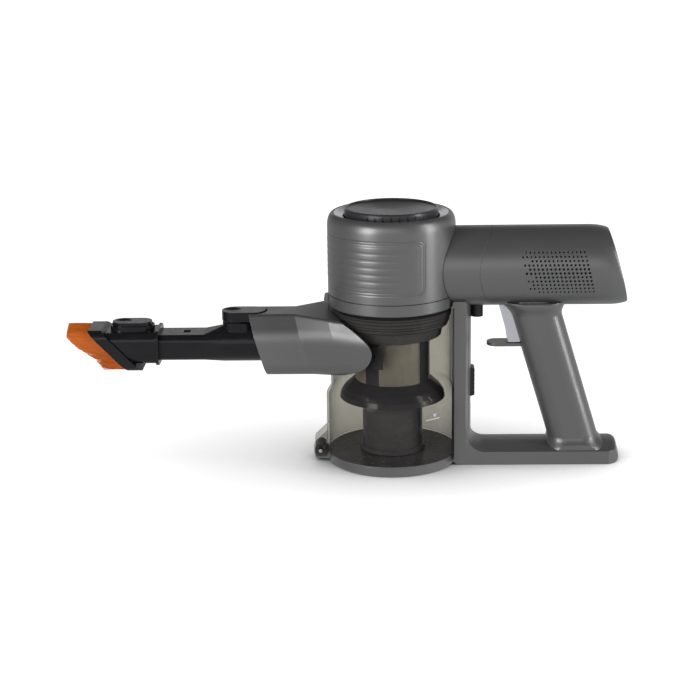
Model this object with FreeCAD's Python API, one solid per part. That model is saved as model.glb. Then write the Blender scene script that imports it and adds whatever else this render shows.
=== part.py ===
import FreeCAD, Part
import math
import os

# Cordless hand vacuum: a motor unit with a pistol grip, a clear dust cup with an inlet duct,
# and a two-in-one crevice and brush tool.  Millimetres.  +Z is up, +X points to the rear (the grip),
# and the origin is on the floor, on the axis of the dust cup.

# ---- driving dimensions -------------------------------------------------------------------------
GAP = 0.3                      # play between bodies that move past each other
WALL = 2.4                     # moulded wall

CUP_R = 60.0                   # dust cup, widest
CUP_Z = 9.9                    # lower rim of the cup
NECK_R = 55.8                  # narrow upper part of the cup
SHOULDER_Z0 = 61.0
SHOULDER_Z1 = 71.0
CUP_TOP = 145.9
CUP_WALL = 2.0

HEAD_R = 57.0                  # motor head
TRIM_Z0 = 146.2
TRIM_Z1 = 156.3
HEAD_Z0 = 156.6
HEAD_TOP = 229.0
HEAD_SHOULDER = 218.0
CAP_R = 41.5                   # filter cap in the top recess
CAP_Z0 = 225.0
CAP_TOP = 233.2

FLAP_R = 58.3                  # bottom flap
FLAP_H = 8.4
HINGE_X = -66.0
HINGE_Z = 10.4
HINGE_PIN_R = 1.7

DRUM_R = 35.7                  # drum behind the head, axis along X
DRUM_Z = 179.4
DRUM_END_X = 200.6             # where the slanted rear end crosses the drum axis
DRUM_END_TILT = 15.0
DRUM_END_CURVE = (             # the rear end draws in: offset along X, radius
    (-18.0, 35.7),
    (-16.0, 35.7),
    (-11.0, 35.45),
    (-7.0, 34.95),
    (-3.5, 34.2),
    (-1.0, 33.4),
    (0.0, 32.8),
)
SEAM_SHIFT = 32.5              # the collar's rear seam is the head's curve moved back by this much
SADDLE_Z = 149.0               # below this height the drum's underside belongs to the handle

SPINE_X = 53.5                 # handle frame: spine, foot and grip
FRAME_EDGE = 12.0              # its thickness at the edges
FRAME_CROWN = 17.6             # and along the middle
FRAME_HALF = 25.5
FOOT_END = 207.0
FOOT_DRAFT = 4.5               # the foot's end leans in by this much towards its top
FOOT_CORNER = 24.0             # corner radius of the foot's end seen from above
GRIP_X = 148.6                 # middle of the grip at the height GRIP_Z
GRIP_Z = 72.0
GRIP_SLOPE = -0.303
GRIP_HALF_X = 22.7
GRIP_HALF_Y = 21.0
GRIP_CORNER = 16.0
CELL_WELL_CORNER = 11.5        # corner of the hollow inside the grip

SCREW_SPOTS = (                # x, z and the depth the head sits at
    (78.0, 7.0, 22.6),
    (192.0, 7.0, 20.0),
    (61.0, 34.0, 23.2),
    (61.0, 112.0, 23.2),
    (133.0, 124.0, 19.6),
)
SCREW_HEAD_R = 2.9
SCREW_SHANK = 12.0
TRIGGER_PIVOT = (101.5, 148.0)  # x, z

CELL_R = 9.1                   # battery cell
CELL_LEN = 65.0

DUCT_Z0 = 83.8                 # inlet duct
DUCT_Z1 = 139.2
DUCT_HALF = 27.5
DUCT_CREASE = -78.5            # where the duct starts to swing round the cup
DUCT_SECTIONS = (              # x, near side, then height of near top, near shoulder, bottom and far top
    (-150.0, -DUCT_HALF, DUCT_Z1, 121.0, DUCT_Z0, DUCT_Z1),
    (DUCT_CREASE, -DUCT_HALF, DUCT_Z1, 121.0, DUCT_Z0, DUCT_Z1),
    (-48.0, -42.4, 138.5, 124.0, 86.5, 145.0),
    (-12.0, -59.8, 137.0, 124.0, 89.0, 150.0),
)
LOBE = (                       # the egg-shaped end of the duct: x, z
    (-47.4, 87.0),
    (-40.9, 88.8),
    (-34.2, 91.4),
    (-28.6, 94.9),
    (-23.2, 99.8),
    (-19.4, 106.1),
    (-17.8, 111.6),
    (-18.8, 117.1),
    (-21.9, 121.7),
    (-27.1, 126.5),
    (-33.2, 130.9),
    (-41.0, 135.8),
    (-49.5, 140.0),
)
MOUTH_X = -120.1
MOUTH_SLANT = 0.29
TOOL_Z = 109.5                 # axis of the tool
NECK_TUBE_R = 16.7
BORE_R = 16.76

CREVICE_HALF = 18.6            # flat body of the tool
CREVICE_Z0 = 97.0
CREVICE_Z1 = 120.2
NECK_END = -152.0              # where the round neck starts to flatten
FLAT_START = -169.0
SLEEVE_REAR = -209.2
FRAME_SLANT = 0.95             # slant of the brush mouth, dx/dz
LATCH_PIVOT = (-133.0, 133.3)  # x, z
LATCH_Z0 = 131.3
LATCH_Z1 = 140.0


# ---- small building blocks ------------------------------------------------------------------------
def vec(x, y, z):
    return FreeCAD.Vector(x, y, z)


def box(x0, x1, y0, y1, z0, z1):
    return Part.makeBox(x1 - x0, y1 - y0, z1 - z0, vec(x0, y0, z0))


def post(radius, z0, z1, x=0.0, y=0.0):
    return Part.makeCylinder(radius, z1 - z0, vec(x, y, z0))


def rod_x(radius, x0, x1, y=0.0, z=DRUM_Z):
    return Part.makeCylinder(radius, x1 - x0, vec(x0, y, z), vec(1, 0, 0))


def rod_y(radius, y0, y1, x, z):
    return Part.makeCylinder(radius, y1 - y0, vec(x, y0, z), vec(0, 1, 0))


def ring(r_out, r_in, z0, z1, x=0.0, y=0.0):
    return post(r_out, z0, z1, x, y).cut(post(r_in, z0 - 1, z1 + 1, x, y))


def ring_x(r_out, r_in, x0, x1, y=0.0, z=DRUM_Z):
    return rod_x(r_out, x0, x1, y, z).cut(rod_x(r_in, x0 - 1, x1 + 1, y, z))


def spun(points):
    """Solid of revolution about the Z axis from (radius, height) points."""
    corners = [vec(r, 0, z) for r, z in points]
    face = Part.Face(Part.makePolygon(corners + corners[:1]))
    return face.revolve(vec(0, 0, 0), vec(0, 0, 1), 360)


def arc_points(cx, cz, r, start, end, steps):
    """Points along an arc, angles in degrees, in the plane of a section."""
    angles = [start + (end - start) * i / steps for i in range(steps + 1)]
    return [(cx + r * math.cos(math.radians(a)), cz + r * math.sin(math.radians(a))) for a in angles]


def rounded_wire(points, place):
    """Closed outline with tangent arcs: points are (u, v, radius), place maps (u, v) to space."""
    count = len(points)
    edges = []
    joins = []
    for i in range(count):
        u, v, r = points[i]
        pu, pv = points[i - 1][0], points[i - 1][1]
        nu, nv = points[(i + 1) % count][0], points[(i + 1) % count][1]
        back = math.hypot(pu - u, pv - v)
        ahead = math.hypot(nu - u, nv - v)
        b = ((pu - u) / back, (pv - v) / back)
        a = ((nu - u) / ahead, (nv - v) / ahead)
        half = math.acos(max(-1.0, min(1.0, a[0] * b[0] + a[1] * b[1]))) / 2
        reach = r / math.tan(half)
        mid = (a[0] + b[0], a[1] + b[1])
        size = math.hypot(mid[0], mid[1])
        inset = r / math.sin(half) - r
        joins.append((
            place(u + b[0] * reach, v + b[1] * reach),
            place(u + mid[0] / size * inset, v + mid[1] / size * inset),
            place(u + a[0] * reach, v + a[1] * reach),
        ))
    for i in range(count):
        start, middle, end = joins[i]
        following = joins[(i + 1) % count][0]
        if points[i][2] > 0:
            edges.append(Part.Arc(start, middle, end).toShape())
        if end.distanceToPoint(following) > 1e-6:
            edges.append(Part.LineSegment(end, following).toShape())
    return Part.Wire(edges)


def side_plate(points, y0, y1):
    """An outline in X and Z, given thickness along Y."""
    wire = rounded_wire(points, lambda u, v: vec(u, y0, v))
    return Part.Face(wire).extrude(vec(0, y1 - y0, 0))


def plan_plate(points, z0, z1):
    """An outline in X and Y, given thickness along Z."""
    wire = rounded_wire(points, lambda u, v: vec(u, v, z0))
    return Part.Face(wire).extrude(vec(0, 0, z1 - z0))


def rect_points(u0, u1, v0, v1, r):
    return [(u0, v0, r), (u1, v0, r), (u1, v1, r), (u0, v1, r)]


def cross_tube(x0, x1, half, z0, z1, r):
    """A bar along X with a rounded rectangular section."""
    wire = rounded_wire(rect_points(-half, half, z0, z1, r), lambda u, v: vec(x0, u, v))
    return Part.Face(wire).extrude(vec(x1 - x0, 0, 0))


def pill(x0, x1, half, z0, z1):
    """An upright slab whose plan is a slot shape."""
    return plan_plate(rect_points(x0, x1, -half, half, half - 0.01), z0, z1)


def front_of_slant(x_axis, z_axis, slant):
    """Block that fills everything ahead of a slanted plane through (x_axis, z_axis)."""
    low = 40.0
    high = 190.0
    reach = -420.0
    corners = [
        (reach, low, 0),
        (x_axis - slant * (low - z_axis), low, 0),
        (x_axis - slant * (high - z_axis), high, 0),
        (reach, high, 0),
    ]
    return side_plate(corners, -90, 90)


def coil(radius, wire_r, pitch, height, x, y, z):
    """Compression spring standing on Z."""
    path = Part.makeHelix(pitch, height, radius)
    section = Part.Wire(Part.Circle(vec(radius, 0, 0), vec(0, 1, 0), wire_r).toShape())
    spring = Part.Wire(path).makePipeShell([section], True, True)
    spring.translate(vec(x, y, z))
    return spring


# ---- handle frame -----------------------------------------------------------------------------
def frame_section(y, thick, corner):
    """The L of spine and foot at one depth, as a wire in the plane y."""
    points = [
        (SPINE_X, 0, 7),
        (FOOT_END - 0.07 * abs(y), 0, 4),
        (FOOT_END - FOOT_DRAFT - 0.07 * abs(y), thick, 4),
        (SPINE_X + thick, thick, corner),
        (SPINE_X + thick, 152, 2),
        (SPINE_X, 152, 2),
    ]
    return rounded_wire(points, lambda u, v: vec(u, y, v))


def grip_section(z, grow):
    centre = GRIP_X + GRIP_SLOPE * (z - GRIP_Z)
    half_x = GRIP_HALF_X + grow
    half_y = GRIP_HALF_Y + min(grow, 4)
    corner = CELL_WELL_CORNER if grow < 0 else GRIP_CORNER + min(grow, 4)
    points = rect_points(centre - half_x, centre + half_x, -half_y, half_y, corner)
    return rounded_wire(points, lambda u, v: vec(u, v, z))


def grip_solid(grow, z0, z1):
    return Part.makeLoft([grip_section(z0, grow), grip_section(z1, grow)], True, True)


def drum_end_block(x_axis):
    """Everything behind the slanted rear end of the drum."""
    block = box(0, 120, -80, 80, -120, 120)
    block.rotate(vec(0, 0, 0), vec(0, 1, 0), -DRUM_END_TILT)
    block.translate(vec(x_axis, 0, DRUM_Z))
    return block


def handle_solid():
    """Collar, saddle, spine, foot and grip as one solid, before it is hollowed and split."""
    levels = (
        (-FRAME_HALF, FRAME_EDGE, 18),
        (-FRAME_HALF * 0.55, FRAME_EDGE + 3.6, 15),
        (0, FRAME_CROWN, 12),
        (FRAME_HALF * 0.55, FRAME_EDGE + 3.6, 15),
        (FRAME_HALF, FRAME_EDGE, 18),
    )
    body = Part.makeLoft([frame_section(*level) for level in levels], True, False)
    tail = plan_plate([(SPINE_X - 5, -40, 0), (FOOT_END + 1, -FRAME_HALF - 0.5, FOOT_CORNER),
                       (FOOT_END + 1, FRAME_HALF + 0.5, FOOT_CORNER), (SPINE_X - 5, 40, 0)], -5, 170)
    body = body.common(tail)
    grip = grip_solid(0, 8, 152)
    under_drum = rod_x(DRUM_R + 0.2, 60, 200).common(box(60, 200, -40, 40, SADDLE_Z, 200))
    flare_low = Part.makeLoft([grip_section(10, 8), grip_section(15.5, 4.2), grip_section(19, 1.6),
                               grip_section(25, 0)], True, False)
    flare_high = Part.makeLoft([grip_section(134, 0), grip_section(140, 1.4), grip_section(144, 4.0),
                                grip_section(149, 8)], True, False)
    flare_low = flare_low.common(box(0, FOOT_END - 3, -24, 24, 0, 40))
    grip = grip.fuse(flare_high.common(box(100, 190, -26, 26, 130, 152))).cut(under_drum)
    drum = rod_x(DRUM_R, 40, 180)
    collar = drum.common(post(HEAD_R, 100, 260, SEAM_SHIFT))
    saddle = drum.common(box(60, 168, -40, 40, 100, SADDLE_Z))
    body = body.multiFuse([grip, flare_low, collar, saddle])
    body = body.cut(post(CUP_R + 0.7, -5, TRIM_Z0))
    body = body.cut(post(HEAD_R + GAP, TRIM_Z0 - 1, 260))
    return body.removeSplitter()


def handle_cavities():
    """Hollows of the handle: air path, spine channel, foot bay, cell bay, trigger well, fittings."""
    spine = box(64.2, 68.5, -17, 17, 12, 150)
    foot = box(86, 150, -20, 20, 2.4, 9.8)
    cells = grip_solid(-WALL, 14, 142)
    air = rod_x(DRUM_R - WALL, 50, 200)
    slider_slot = box(66, 80, -6.5, 6.5, 50.5, 88)
    trigger_well = box(88, 126, -9.8, 9.8, 109.6, 153)
    socket_hole = post(5.5, 120, 152, 76.3)
    spring_pocket = rod_y(3.4, 9.0, 13.8, *TRIGGER_PIVOT)
    return [spine, foot, cells, air, slider_slot, trigger_well, socket_hole, spring_pocket]


def handle_shells():
    solid = handle_solid()
    for hollow in handle_cavities():
        solid = solid.cut(hollow)
    solid = solid.cut(rod_y(1.6, -40, 40, TRIGGER_PIVOT[0], TRIGGER_PIVOT[1]))
    left = solid.common(box(0, 260, -80, 0, -10, 260))
    right = solid.common(box(0, 260, 0, 80, -10, 260))
    for x, z, y in SCREW_SPOTS:
        right = right.cut(rod_y(SCREW_HEAD_R, y, 60, x, z))
        right = right.cut(rod_y(1.6, y - SCREW_SHANK - 1, y + 1, x, z))
    return left, right


def handle_screws():
    screws = []
    for x, z, y in SCREW_SPOTS:
        head = rod_y(SCREW_HEAD_R - 0.05, y, y + 1.7, x, z)
        drive = rod_y(1.2, y + 0.7, y + 3, x, z)
        screws.append(head.cut(drive).fuse(rod_y(1.55, y - SCREW_SHANK, y, x, z)))
    return Part.makeCompound(screws)


def finger_guard():
    blade = plan_plate([(85.2, -9, 8.9), (124, -9, 0), (124, 9, 0), (85.2, 9, 8.9)], 106.3, 109.3)
    return blade.cut(grip_solid(0, 60, 150))


# ---- trigger and release slider -------------------------------------------------------------------

def trigger():
    points = [(95.8, 143, 0), (99.4, 130, 40), (102.6, 118, 30), (103.6, 110.5, 1.6), (115.4, 110.5, 1.6),
              (106.4, 143, 0), (105.8, 150.5, 3), (97.2, 150.5, 3)]
    body = side_plate(points, -9.2, 9.2)
    return body.cut(rod_y(1.66, -20, 20, *TRIGGER_PIVOT))


def trigger_pin():
    return rod_y(1.6, -13.5, 13.5, *TRIGGER_PIVOT)


def trigger_spring():
    turns = [ring_y(3.0, 2.0, y, y + 0.8, *TRIGGER_PIVOT) for y in (10.2, 11.4, 12.6)]
    return Part.makeCompound(turns)


def ring_y(r_out, r_in, y0, y1, x, z):
    return rod_y(r_out, y0, y1, x, z).cut(rod_y(r_in, y0 - 1, y1 + 1, x, z))


def trigger_switch():
    case = box(124.5, 131, -7, 7, 113, 128)
    plunger = rod_x(1.4, 121.5, 124.5, 0, 117)
    return case.fuse(plunger)


def release_slider():
    cap = side_plate([(69.5, 58.6, 0.6), (74.4, 60.0, 1.2), (74.4, 85.2, 1.2), (69.5, 86.6, 0.6)], -6, 6)
    grooves = [box(73.8, 80, -8, 8, 64 + 4 * i, 65.4 + 4 * i) for i in range(5)]
    for groove in grooves:
        cap = cap.cut(groove)
    stem = box(66.8, 70, -3, 3, 68, 78)
    return cap.fuse(stem)


def release_rod():
    return box(64.6, 66.8, -5, 5, 32.0, 78)


def slider_spring():
    return coil(1.5, 0.3, 1.8, 10.8, 66.35, 0, 20.6)


def charging_socket():
    body = post(5.45, 132.9, 151.5, 76.3)
    return body.cut(post(2.8, 131, 143.0, 76.3))


# ---- drum, motor and battery ----------------------------------------------------------------------
def slant_ring(offset, radius):
    """Outline parallel to the drum's slanted end that has this radius when seen along X."""
    tilt = math.radians(DRUM_END_TILT)
    centre = vec(DRUM_END_X + offset, 0, DRUM_Z)
    top = centre + vec(-radius * math.tan(tilt), 0, radius)
    side = centre + vec(0, radius, 0)
    return Part.Wire(Part.Ellipse(top, side, centre).toShape())


def drum_body(inset, x_start, overrun):
    """The drum as a plain solid, smaller all round by inset, ending past its slanted end by overrun."""
    curve = [(offset, radius - inset) for offset, radius in DRUM_END_CURVE]
    if overrun > 0:
        curve.append((overrun, curve[-1][1]))
    straight = rod_x(DRUM_R - inset, x_start, 240).cut(drum_end_block(DRUM_END_X + curve[0][0]))
    end = Part.makeLoft([slant_ring(*spot) for spot in curve], True, False)
    return straight.fuse(end)


def drum_shell():
    shell = drum_body(0, 60, 0)
    shell = shell.cut(drum_body(WALL, 50, 6))
    shell = shell.cut(post(HEAD_R + 0.25, 100, 260, SEAM_SHIFT))
    return shell.cut(box(60, 168.2, -40, 40, 100, SADDLE_Z + 0.2))


def rear_cap():
    plug = drum_body(WALL + 0.15, 150, 0)
    plug = plug.cut(drum_end_block(DRUM_END_X - 0.8))
    return plug.common(drum_end_block(DRUM_END_X - 3.6))


def motor_can():
    can = ring_x(26.0, 24.6, 100.8, 147)
    back = ring_x(26.0, 16.0, 147, 148.5)
    return can.fuse(back)


def motor_stator():
    core = ring_x(23.8, 13.5, 120, 138)
    for i in range(9):
        slot = box(119, 139, -1.8, 1.8, DRUM_Z + 12, DRUM_Z + 20.5)
        slot.rotate(vec(0, 0, DRUM_Z), vec(1, 0, 0), 40 * i)
        core = core.cut(slot)
    return core


def motor_rotor():
    magnet = rod_x(12.6, 121, 137)
    shaft = rod_x(2.5, 101.5, 145.5)
    return magnet.fuse(shaft)


def impeller():
    hub = rod_x(6, 101.5, 110).fuse(ring_x(21.5, 2.5, 110, 111.5))
    for i in range(9):
        blade = box(102, 110.2, -0.6, 0.6, DRUM_Z + 5, DRUM_Z + 21)
        blade.rotate(vec(0, 0, DRUM_Z), vec(1, 0, 0), 40 * i)
        hub = hub.fuse(blade)
    return hub.cut(rod_x(2.5, 90, 120))


def motor_bearings():
    pair = [ring_x(6.5, 2.55, 115, 119), ring_x(6.5, 2.55, 140, 144)]
    return Part.makeCompound(pair)


def bearing_bridge(x0, x1):
    plate = ring_x(24.5, 6.5, x0, x1)
    for i in range(6):
        window = rod_x(4.6, x0 - 1, x1 + 1, 0, DRUM_Z + 15.5)
        window.rotate(vec(0, 0, DRUM_Z), vec(1, 0, 0), 60 * i)
        plate = plate.cut(window)
    return plate


def front_bridge():
    return bearing_bridge(115.5, 118.5)


def rear_bridge():
    return bearing_bridge(140.5, 143.5)


def motor_seal():
    return ring_x(DRUM_R - WALL - 0.1, 17.0, 97.0, 100.6).cut(box(90, 110, -14, 14, 140, 153.5))


def exhaust_foam():
    return ring_x(DRUM_R - WALL - 0.1, 28.5, 114, 171)


def tilted(shape, height):
    """Carries a shape from a frame on the grip axis to its place at one height."""
    lean = math.degrees(math.atan(GRIP_SLOPE))
    shape.rotate(vec(0, 0, 0), vec(0, 1, 0), lean)
    shape.translate(vec(GRIP_X + GRIP_SLOPE * (height - GRIP_Z), 0, height))
    return shape


def battery_cells():
    cells = []
    for dx in (-1, 1):
        for dy in (-1, 1):
            cell = post(CELL_R, 0, CELL_LEN, dx * (CELL_R + 0.08), dy * (CELL_R + 0.08))
            tip = post(3.0, CELL_LEN, CELL_LEN + 1.0, dx * (CELL_R + 0.08), dy * (CELL_R + 0.08))
            cells.append(tilted(cell.fuse(tip), 30.0))
    return Part.makeCompound(cells)


def cell_straps():
    low = box(-15, 15, -14, 14, -1.6, -0.3)
    high = box(-15, 15, -14, 14, CELL_LEN + 1.2, CELL_LEN + 1.6)
    return Part.makeCompound([tilted(low, 30.0), tilted(high, 30.0)])


def control_board():
    board = box(90, 146, -16, 16, 3.4, 5.0)
    for x, y, w, h in ((96, -10, 9, 3.4), (110, 4, 12, 2.4), (126, -12, 8, 3.8), (138, 6, 6, 3.0)):
        board = board.fuse(box(x, x + w, y, y + w * 0.7, 5.0, 5.0 + h))
    return board


# ---- head -------------------------------------------------------------------------------------
def head_casing():
    shoulder = [(HEAD_R - 5.6 + 5.6 * math.cos(math.radians(a)),
                 HEAD_SHOULDER + 11.0 * math.sin(math.radians(a))) for a in range(0, 91, 15)]
    profile = [(HEAD_R - WALL, HEAD_Z0), (HEAD_R, HEAD_Z0)]
    profile += shoulder
    profile += [(51.0, 226.8), (42.4, 223.6), (42.4, 221.2), (52.0, 221.2), (HEAD_R - WALL, 215.0)]
    shell = spun(profile)
    return shell.cut(rod_x(24, 30, 80))


def cap_ring():
    return spun([(51.0, 226.85), (51.0, 228.7), (43.2, 225.6), (42.5, 223.7)])


def head_trim():
    trim = spun([(50.0, TRIM_Z0), (HEAD_R - 0.4, TRIM_Z0), (HEAD_R, TRIM_Z0 + 0.6), (HEAD_R, TRIM_Z1),
                 (50.0, TRIM_Z1)])
    return trim.cut(box(-60, -54.8, -7.4, 7.4, 140, 155.5))


def head_floor():
    plate = ring(49.9, 24.0, 148.5, 151.5)
    for i in range(12):
        window = post(5.2, 140, 160, 36.5)
        window.rotate(vec(0, 0, 0), vec(0, 0, 1), 30 * i)
        plate = plate.cut(window)
    return plate


def foam_filter():
    return post(52.5, 157.2, 168.0).cut(post(6, 150, 170))


def filter_cap():
    dish = arc_points(0, CAP_TOP + 205.0, 210.0, -90, -79.3, 5)
    profile = [(0, CAP_Z0 - 2.0), (40.0, CAP_Z0 - 2.0), (CAP_R, CAP_Z0), (CAP_R, CAP_TOP - 1.6),
               (CAP_R - 0.6, CAP_TOP - 0.4), (CAP_R - 1.8, CAP_TOP)]
    profile += [(r, z) for r, z in reversed(dish) if r < CAP_R - 2.5]
    cap = spun(profile)
    for i in range(-3, 4):
        slot = box(-0.95, 0.95, -CAP_R - 1, -CAP_R + 3.2, 227.2, 230.2)
        slot.rotate(vec(0, 0, 0), vec(0, 0, 1), 10 * i)
        cap = cap.cut(slot)
    return cap


def pleated_filter():
    corners = []
    pleats = 36
    for i in range(pleats):
        for k, r in ((0, 38.5), (1, 30.5)):
            a = math.radians(360.0 * (i + k / 2) / pleats)
            corners.append(vec(r * math.cos(a), r * math.sin(a), 174.0))
    body = Part.Face(Part.makePolygon(corners + corners[:1])).extrude(vec(0, 0, 44))
    return body.cut(post(27.5, 170, 220))


def filter_end_rings():
    low = ring(39.5, 25.5, 171.2, 174.0)
    high = ring(39.5, 25.5, 218.0, CAP_Z0 - 2.0)
    return Part.makeCompound([low, high])


# ---- dust cup -------------------------------------------------------------------------------
def cup_shell():
    outer = [(CUP_R, CUP_Z), (CUP_R, SHOULDER_Z0)]
    outer += [(NECK_R + (CUP_R - NECK_R) * (0.5 + 0.5 * math.cos(math.pi * t / 6)),
               SHOULDER_Z0 + (SHOULDER_Z1 - SHOULDER_Z0) * t / 6) for t in range(1, 7)]
    outer += [(NECK_R, CUP_TOP - 4.2), (NECK_R + 0.8, CUP_TOP - 3.6), (NECK_R + 0.8, CUP_TOP)]
    inner = [(NECK_R - CUP_WALL, CUP_TOP), (NECK_R - CUP_WALL, SHOULDER_Z1)]
    inner += [(CUP_R - CUP_WALL, SHOULDER_Z0), (CUP_R - CUP_WALL, CUP_Z)]
    shell = spun(outer + inner)
    shell = shell.cut(box(-58, -26, -60, -26, 97, 128))
    for side in (-1, 1):
        y0 = 9.3 if side > 0 else -14.5
        lug = side_plate([(HINGE_X - 5.6, 4.8, 5.5), (HINGE_X + 5.6, 4.8, 3), (-57.5, CUP_Z, 0),
                          (-56.0, 32.0, 0), (HINGE_X - 5.6, 17.0, 4)], y0, y0 + 5.2)
        lug = lug.cut(post(CUP_R - 1.0, -5, 60)).cut(rod_y(HINGE_PIN_R, -30, 30, HINGE_X, HINGE_Z))
        lug = lug.cut(post(FLAP_R + 1.0, -5, CUP_Z))
        shell = shell.fuse(lug)
    return shell


def cup_seal():
    return ring(NECK_R - CUP_WALL - 0.05, 49.5, CUP_TOP - 3.5, CUP_TOP)


def hinge_pin():
    return rod_y(HINGE_PIN_R, -15.2, 15.2, HINGE_X, HINGE_Z)


def shroud_collar():
    return spun([(30.0, 142.3), (53.2, 142.3), (53.2, 137.0), (51.8, 136.4), (51.8, 131.6), (50.2, 131.2),
                 (50.2, 128.2), (46.0, 127.6), (44.4, 118.2), (34.6, 117.6), (34.6, 115.0), (31.4, 115.0),
                 (31.4, 120.0), (30.0, 121.0)])


def mesh_screen():
    return ring(33.8, 33.2, 76.6, 114.8)


def shroud_ribs():
    ribs = []
    for angle in (-32, 58, 148, 238):
        rib = ring(34.7, 33.9, 76.6, 114.8).common(box(30, 40, -6.5, 6.5, 70, 120))
        inner = ring(33.1, 31.6, 76.6, 114.8).common(box(20, 40, -6.5, 6.5, 70, 120))
        for piece in (rib, inner):
            piece.rotate(vec(0, 0, 0), vec(0, 0, 1), angle)
            ribs.append(piece)
    return Part.makeCompound(ribs)


def skirt():
    return spun([(31.6, 76.4), (34.8, 76.4), (43.6, 68.6), (46.6, 64.0), (47.6, 59.2), (46.2, 59.2),
                 (45.0, 63.2), (42.6, 67.0), (34.0, 74.4), (31.6, 74.4)])


def fines_cup():
    return spun([(29.4, 10.2), (29.4, 13.6), (27.2, 15.0), (27.2, 74.2), (25.6, 74.2), (25.6, 10.2)])


def vortex_cone():
    return spun([(24.0, 118.0), (25.4, 118.0), (25.4, 78.0), (14.4, 34.0), (13.0, 34.0), (24.0, 78.0)])


def vortex_finder():
    return spun([(12.5, 121.0), (29.8, 121.0), (29.8, 119.0), (14.0, 119.0), (14.0, 88.0), (12.5, 88.0)])


def inlet_guide():
    vane = ring(46.5, 45.0, 96, 116).common(box(-40, -8, -60, -20, 90, 125))
    return vane


# ---- bottom flap -------------------------------------------------------------------------------
def bottom_flap():
    disc = spun([(0, 0), (FLAP_R - 1.2, 0), (FLAP_R, 1.2), (FLAP_R, FLAP_H), (54.5, FLAP_H), (54.5, 3.0),
                 (0, 3.0)])
    for i in range(6):
        rib = box(4, 54.8, -0.8, 0.8, 2.8, 8.0)
        rib.rotate(vec(0, 0, 0), vec(0, 0, 1), 60 * i + 30)
        disc = disc.fuse(rib)
    arm = side_plate([(HINGE_X - 5.0, HINGE_Z - 8.6, 2), (-56, 0.8, 0), (-56, 7.6, 0),
                      (HINGE_X + 5.0, 9.0, 2), (HINGE_X + 4.6, HINGE_Z + 4.9, 4.5),
                      (HINGE_X - 5.0, HINGE_Z + 4.9, 4.9)], -8.9, 8.9)
    disc = disc.fuse(arm)
    return disc.cut(rod_y(HINGE_PIN_R + 0.06, -30, 30, HINGE_X, HINGE_Z))


def flap_seal():
    return spun([(0, FLAP_H), (FLAP_R - 0.2, FLAP_H), (FLAP_R - 0.2, FLAP_H + 1.0), (0, FLAP_H + 1.0)])


# ---- inlet duct ----------------------------------------------------------------------------------
def duct_section(x, near, near_top, shoulder, low, far_top, inset):
    """Slanted section of the duct: a flat top, two sloping shoulders and a rounded bottom."""
    run = 11.5 if near == -DUCT_HALF else 7.5
    far = DUCT_HALF
    points = [
        (near + run + inset, near_top - inset, 4 - inset),
        (near + inset, shoulder, 26 - inset),
        (near + inset, low + inset, 13 - inset),
        (far - inset, low + inset, 13 - inset),
        (far - inset, 121.0, 26 - inset),
        (far - 11.5 - inset, far_top - inset, 4 - inset),
    ]
    return rounded_wire(points, lambda u, v: vec(x - MOUTH_SLANT * (v - TOOL_Z), u, v))


def duct_loft(inset):
    return Part.makeLoft([duct_section(*spot, inset) for spot in DUCT_SECTIONS], True, True)


def lobe_plate():
    """Side outline of the duct, with the egg-shaped end that lies on the cup."""
    curve = Part.BSplineCurve()
    curve.interpolate([vec(x, -80, z) for x, z in LOBE])
    start = vec(LOBE[0][0], -80, LOBE[0][1])
    end = vec(LOBE[-1][0], -80, LOBE[-1][1])
    corners = [end, vec(-64, -80, 148.5), vec(-64, -80, 156), vec(-160, -80, 156), vec(-160, -80, 70),
               vec(-70, -80, 70), start]
    edges = [curve.toShape()]
    edges += [Part.LineSegment(p, q).toShape() for p, q in zip(corners, corners[1:])]
    return Part.Face(Part.Wire(edges)).extrude(vec(0, 140, 0))


def inlet_duct():
    body = duct_loft(0).common(lobe_plate())
    body = body.cut(duct_loft(2.5).common(box(-200, -45, -60, 60, 60, 160)))
    body = body.cut(front_of_slant(MOUTH_X, 112.0, MOUTH_SLANT))
    body = body.cut(post(NECK_R + 0.15, 60, 160))
    body = body.cut(post(NECK_R + 1.1, CUP_TOP - 4.6, 160))
    body = body.cut(post(HEAD_R + 0.5, CUP_TOP - 0.8, 170))
    return body.cut(pill(-160, -111.8, 13.2, 128, 150))


def duct_socket():
    plate = duct_loft(2.8).common(box(-98, -93, -40, 40, 60, 160))
    sleeve = rod_x(19.6, -112, -84, 0, TOOL_Z)
    return plate.fuse(sleeve).cut(rod_x(BORE_R, -130, -70, 0, TOOL_Z))


def cup_button():
    return side_plate([(-60.6, 147.0, 2.0), (-56.7, 147.0, 0.4), (-56.7, 153.6, 0.4), (-60.6, 153.6, 2.0)],
                      -7, 7)


# ---- tool ----------------------------------------------------------------------------------------
def round_section(x, radius):
    """A circle of the tube written with the same eight edges as a rounded rectangle."""
    r = radius * 0.999
    return rounded_wire(rect_points(-radius, radius, TOOL_Z - radius, TOOL_Z + radius, r),
                        lambda u, v: vec(x, u, v))


def flat_section(x, grow):
    r = 6.5 + grow
    return rounded_wire(rect_points(-CREVICE_HALF - grow, CREVICE_HALF + grow, CREVICE_Z0 - grow,
                                    CREVICE_Z1 + grow, r), lambda u, v: vec(x, u, v))


def tube_core(shrink, x_front, x_rear):
    """The tool's outline from mouth to neck, smaller all round by shrink."""
    radius = NECK_TUBE_R - shrink
    neck = Part.Face(round_section(NECK_END, radius)).extrude(vec(x_rear - NECK_END, 0, 0))
    taper = Part.makeLoft([round_section(NECK_END, radius), flat_section(FLAT_START, -shrink)], True, True)
    flat = Part.Face(flat_section(FLAT_START, -shrink)).extrude(vec(x_front - FLAT_START, 0, 0))
    return neck.multiFuse([taper, flat])


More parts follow.
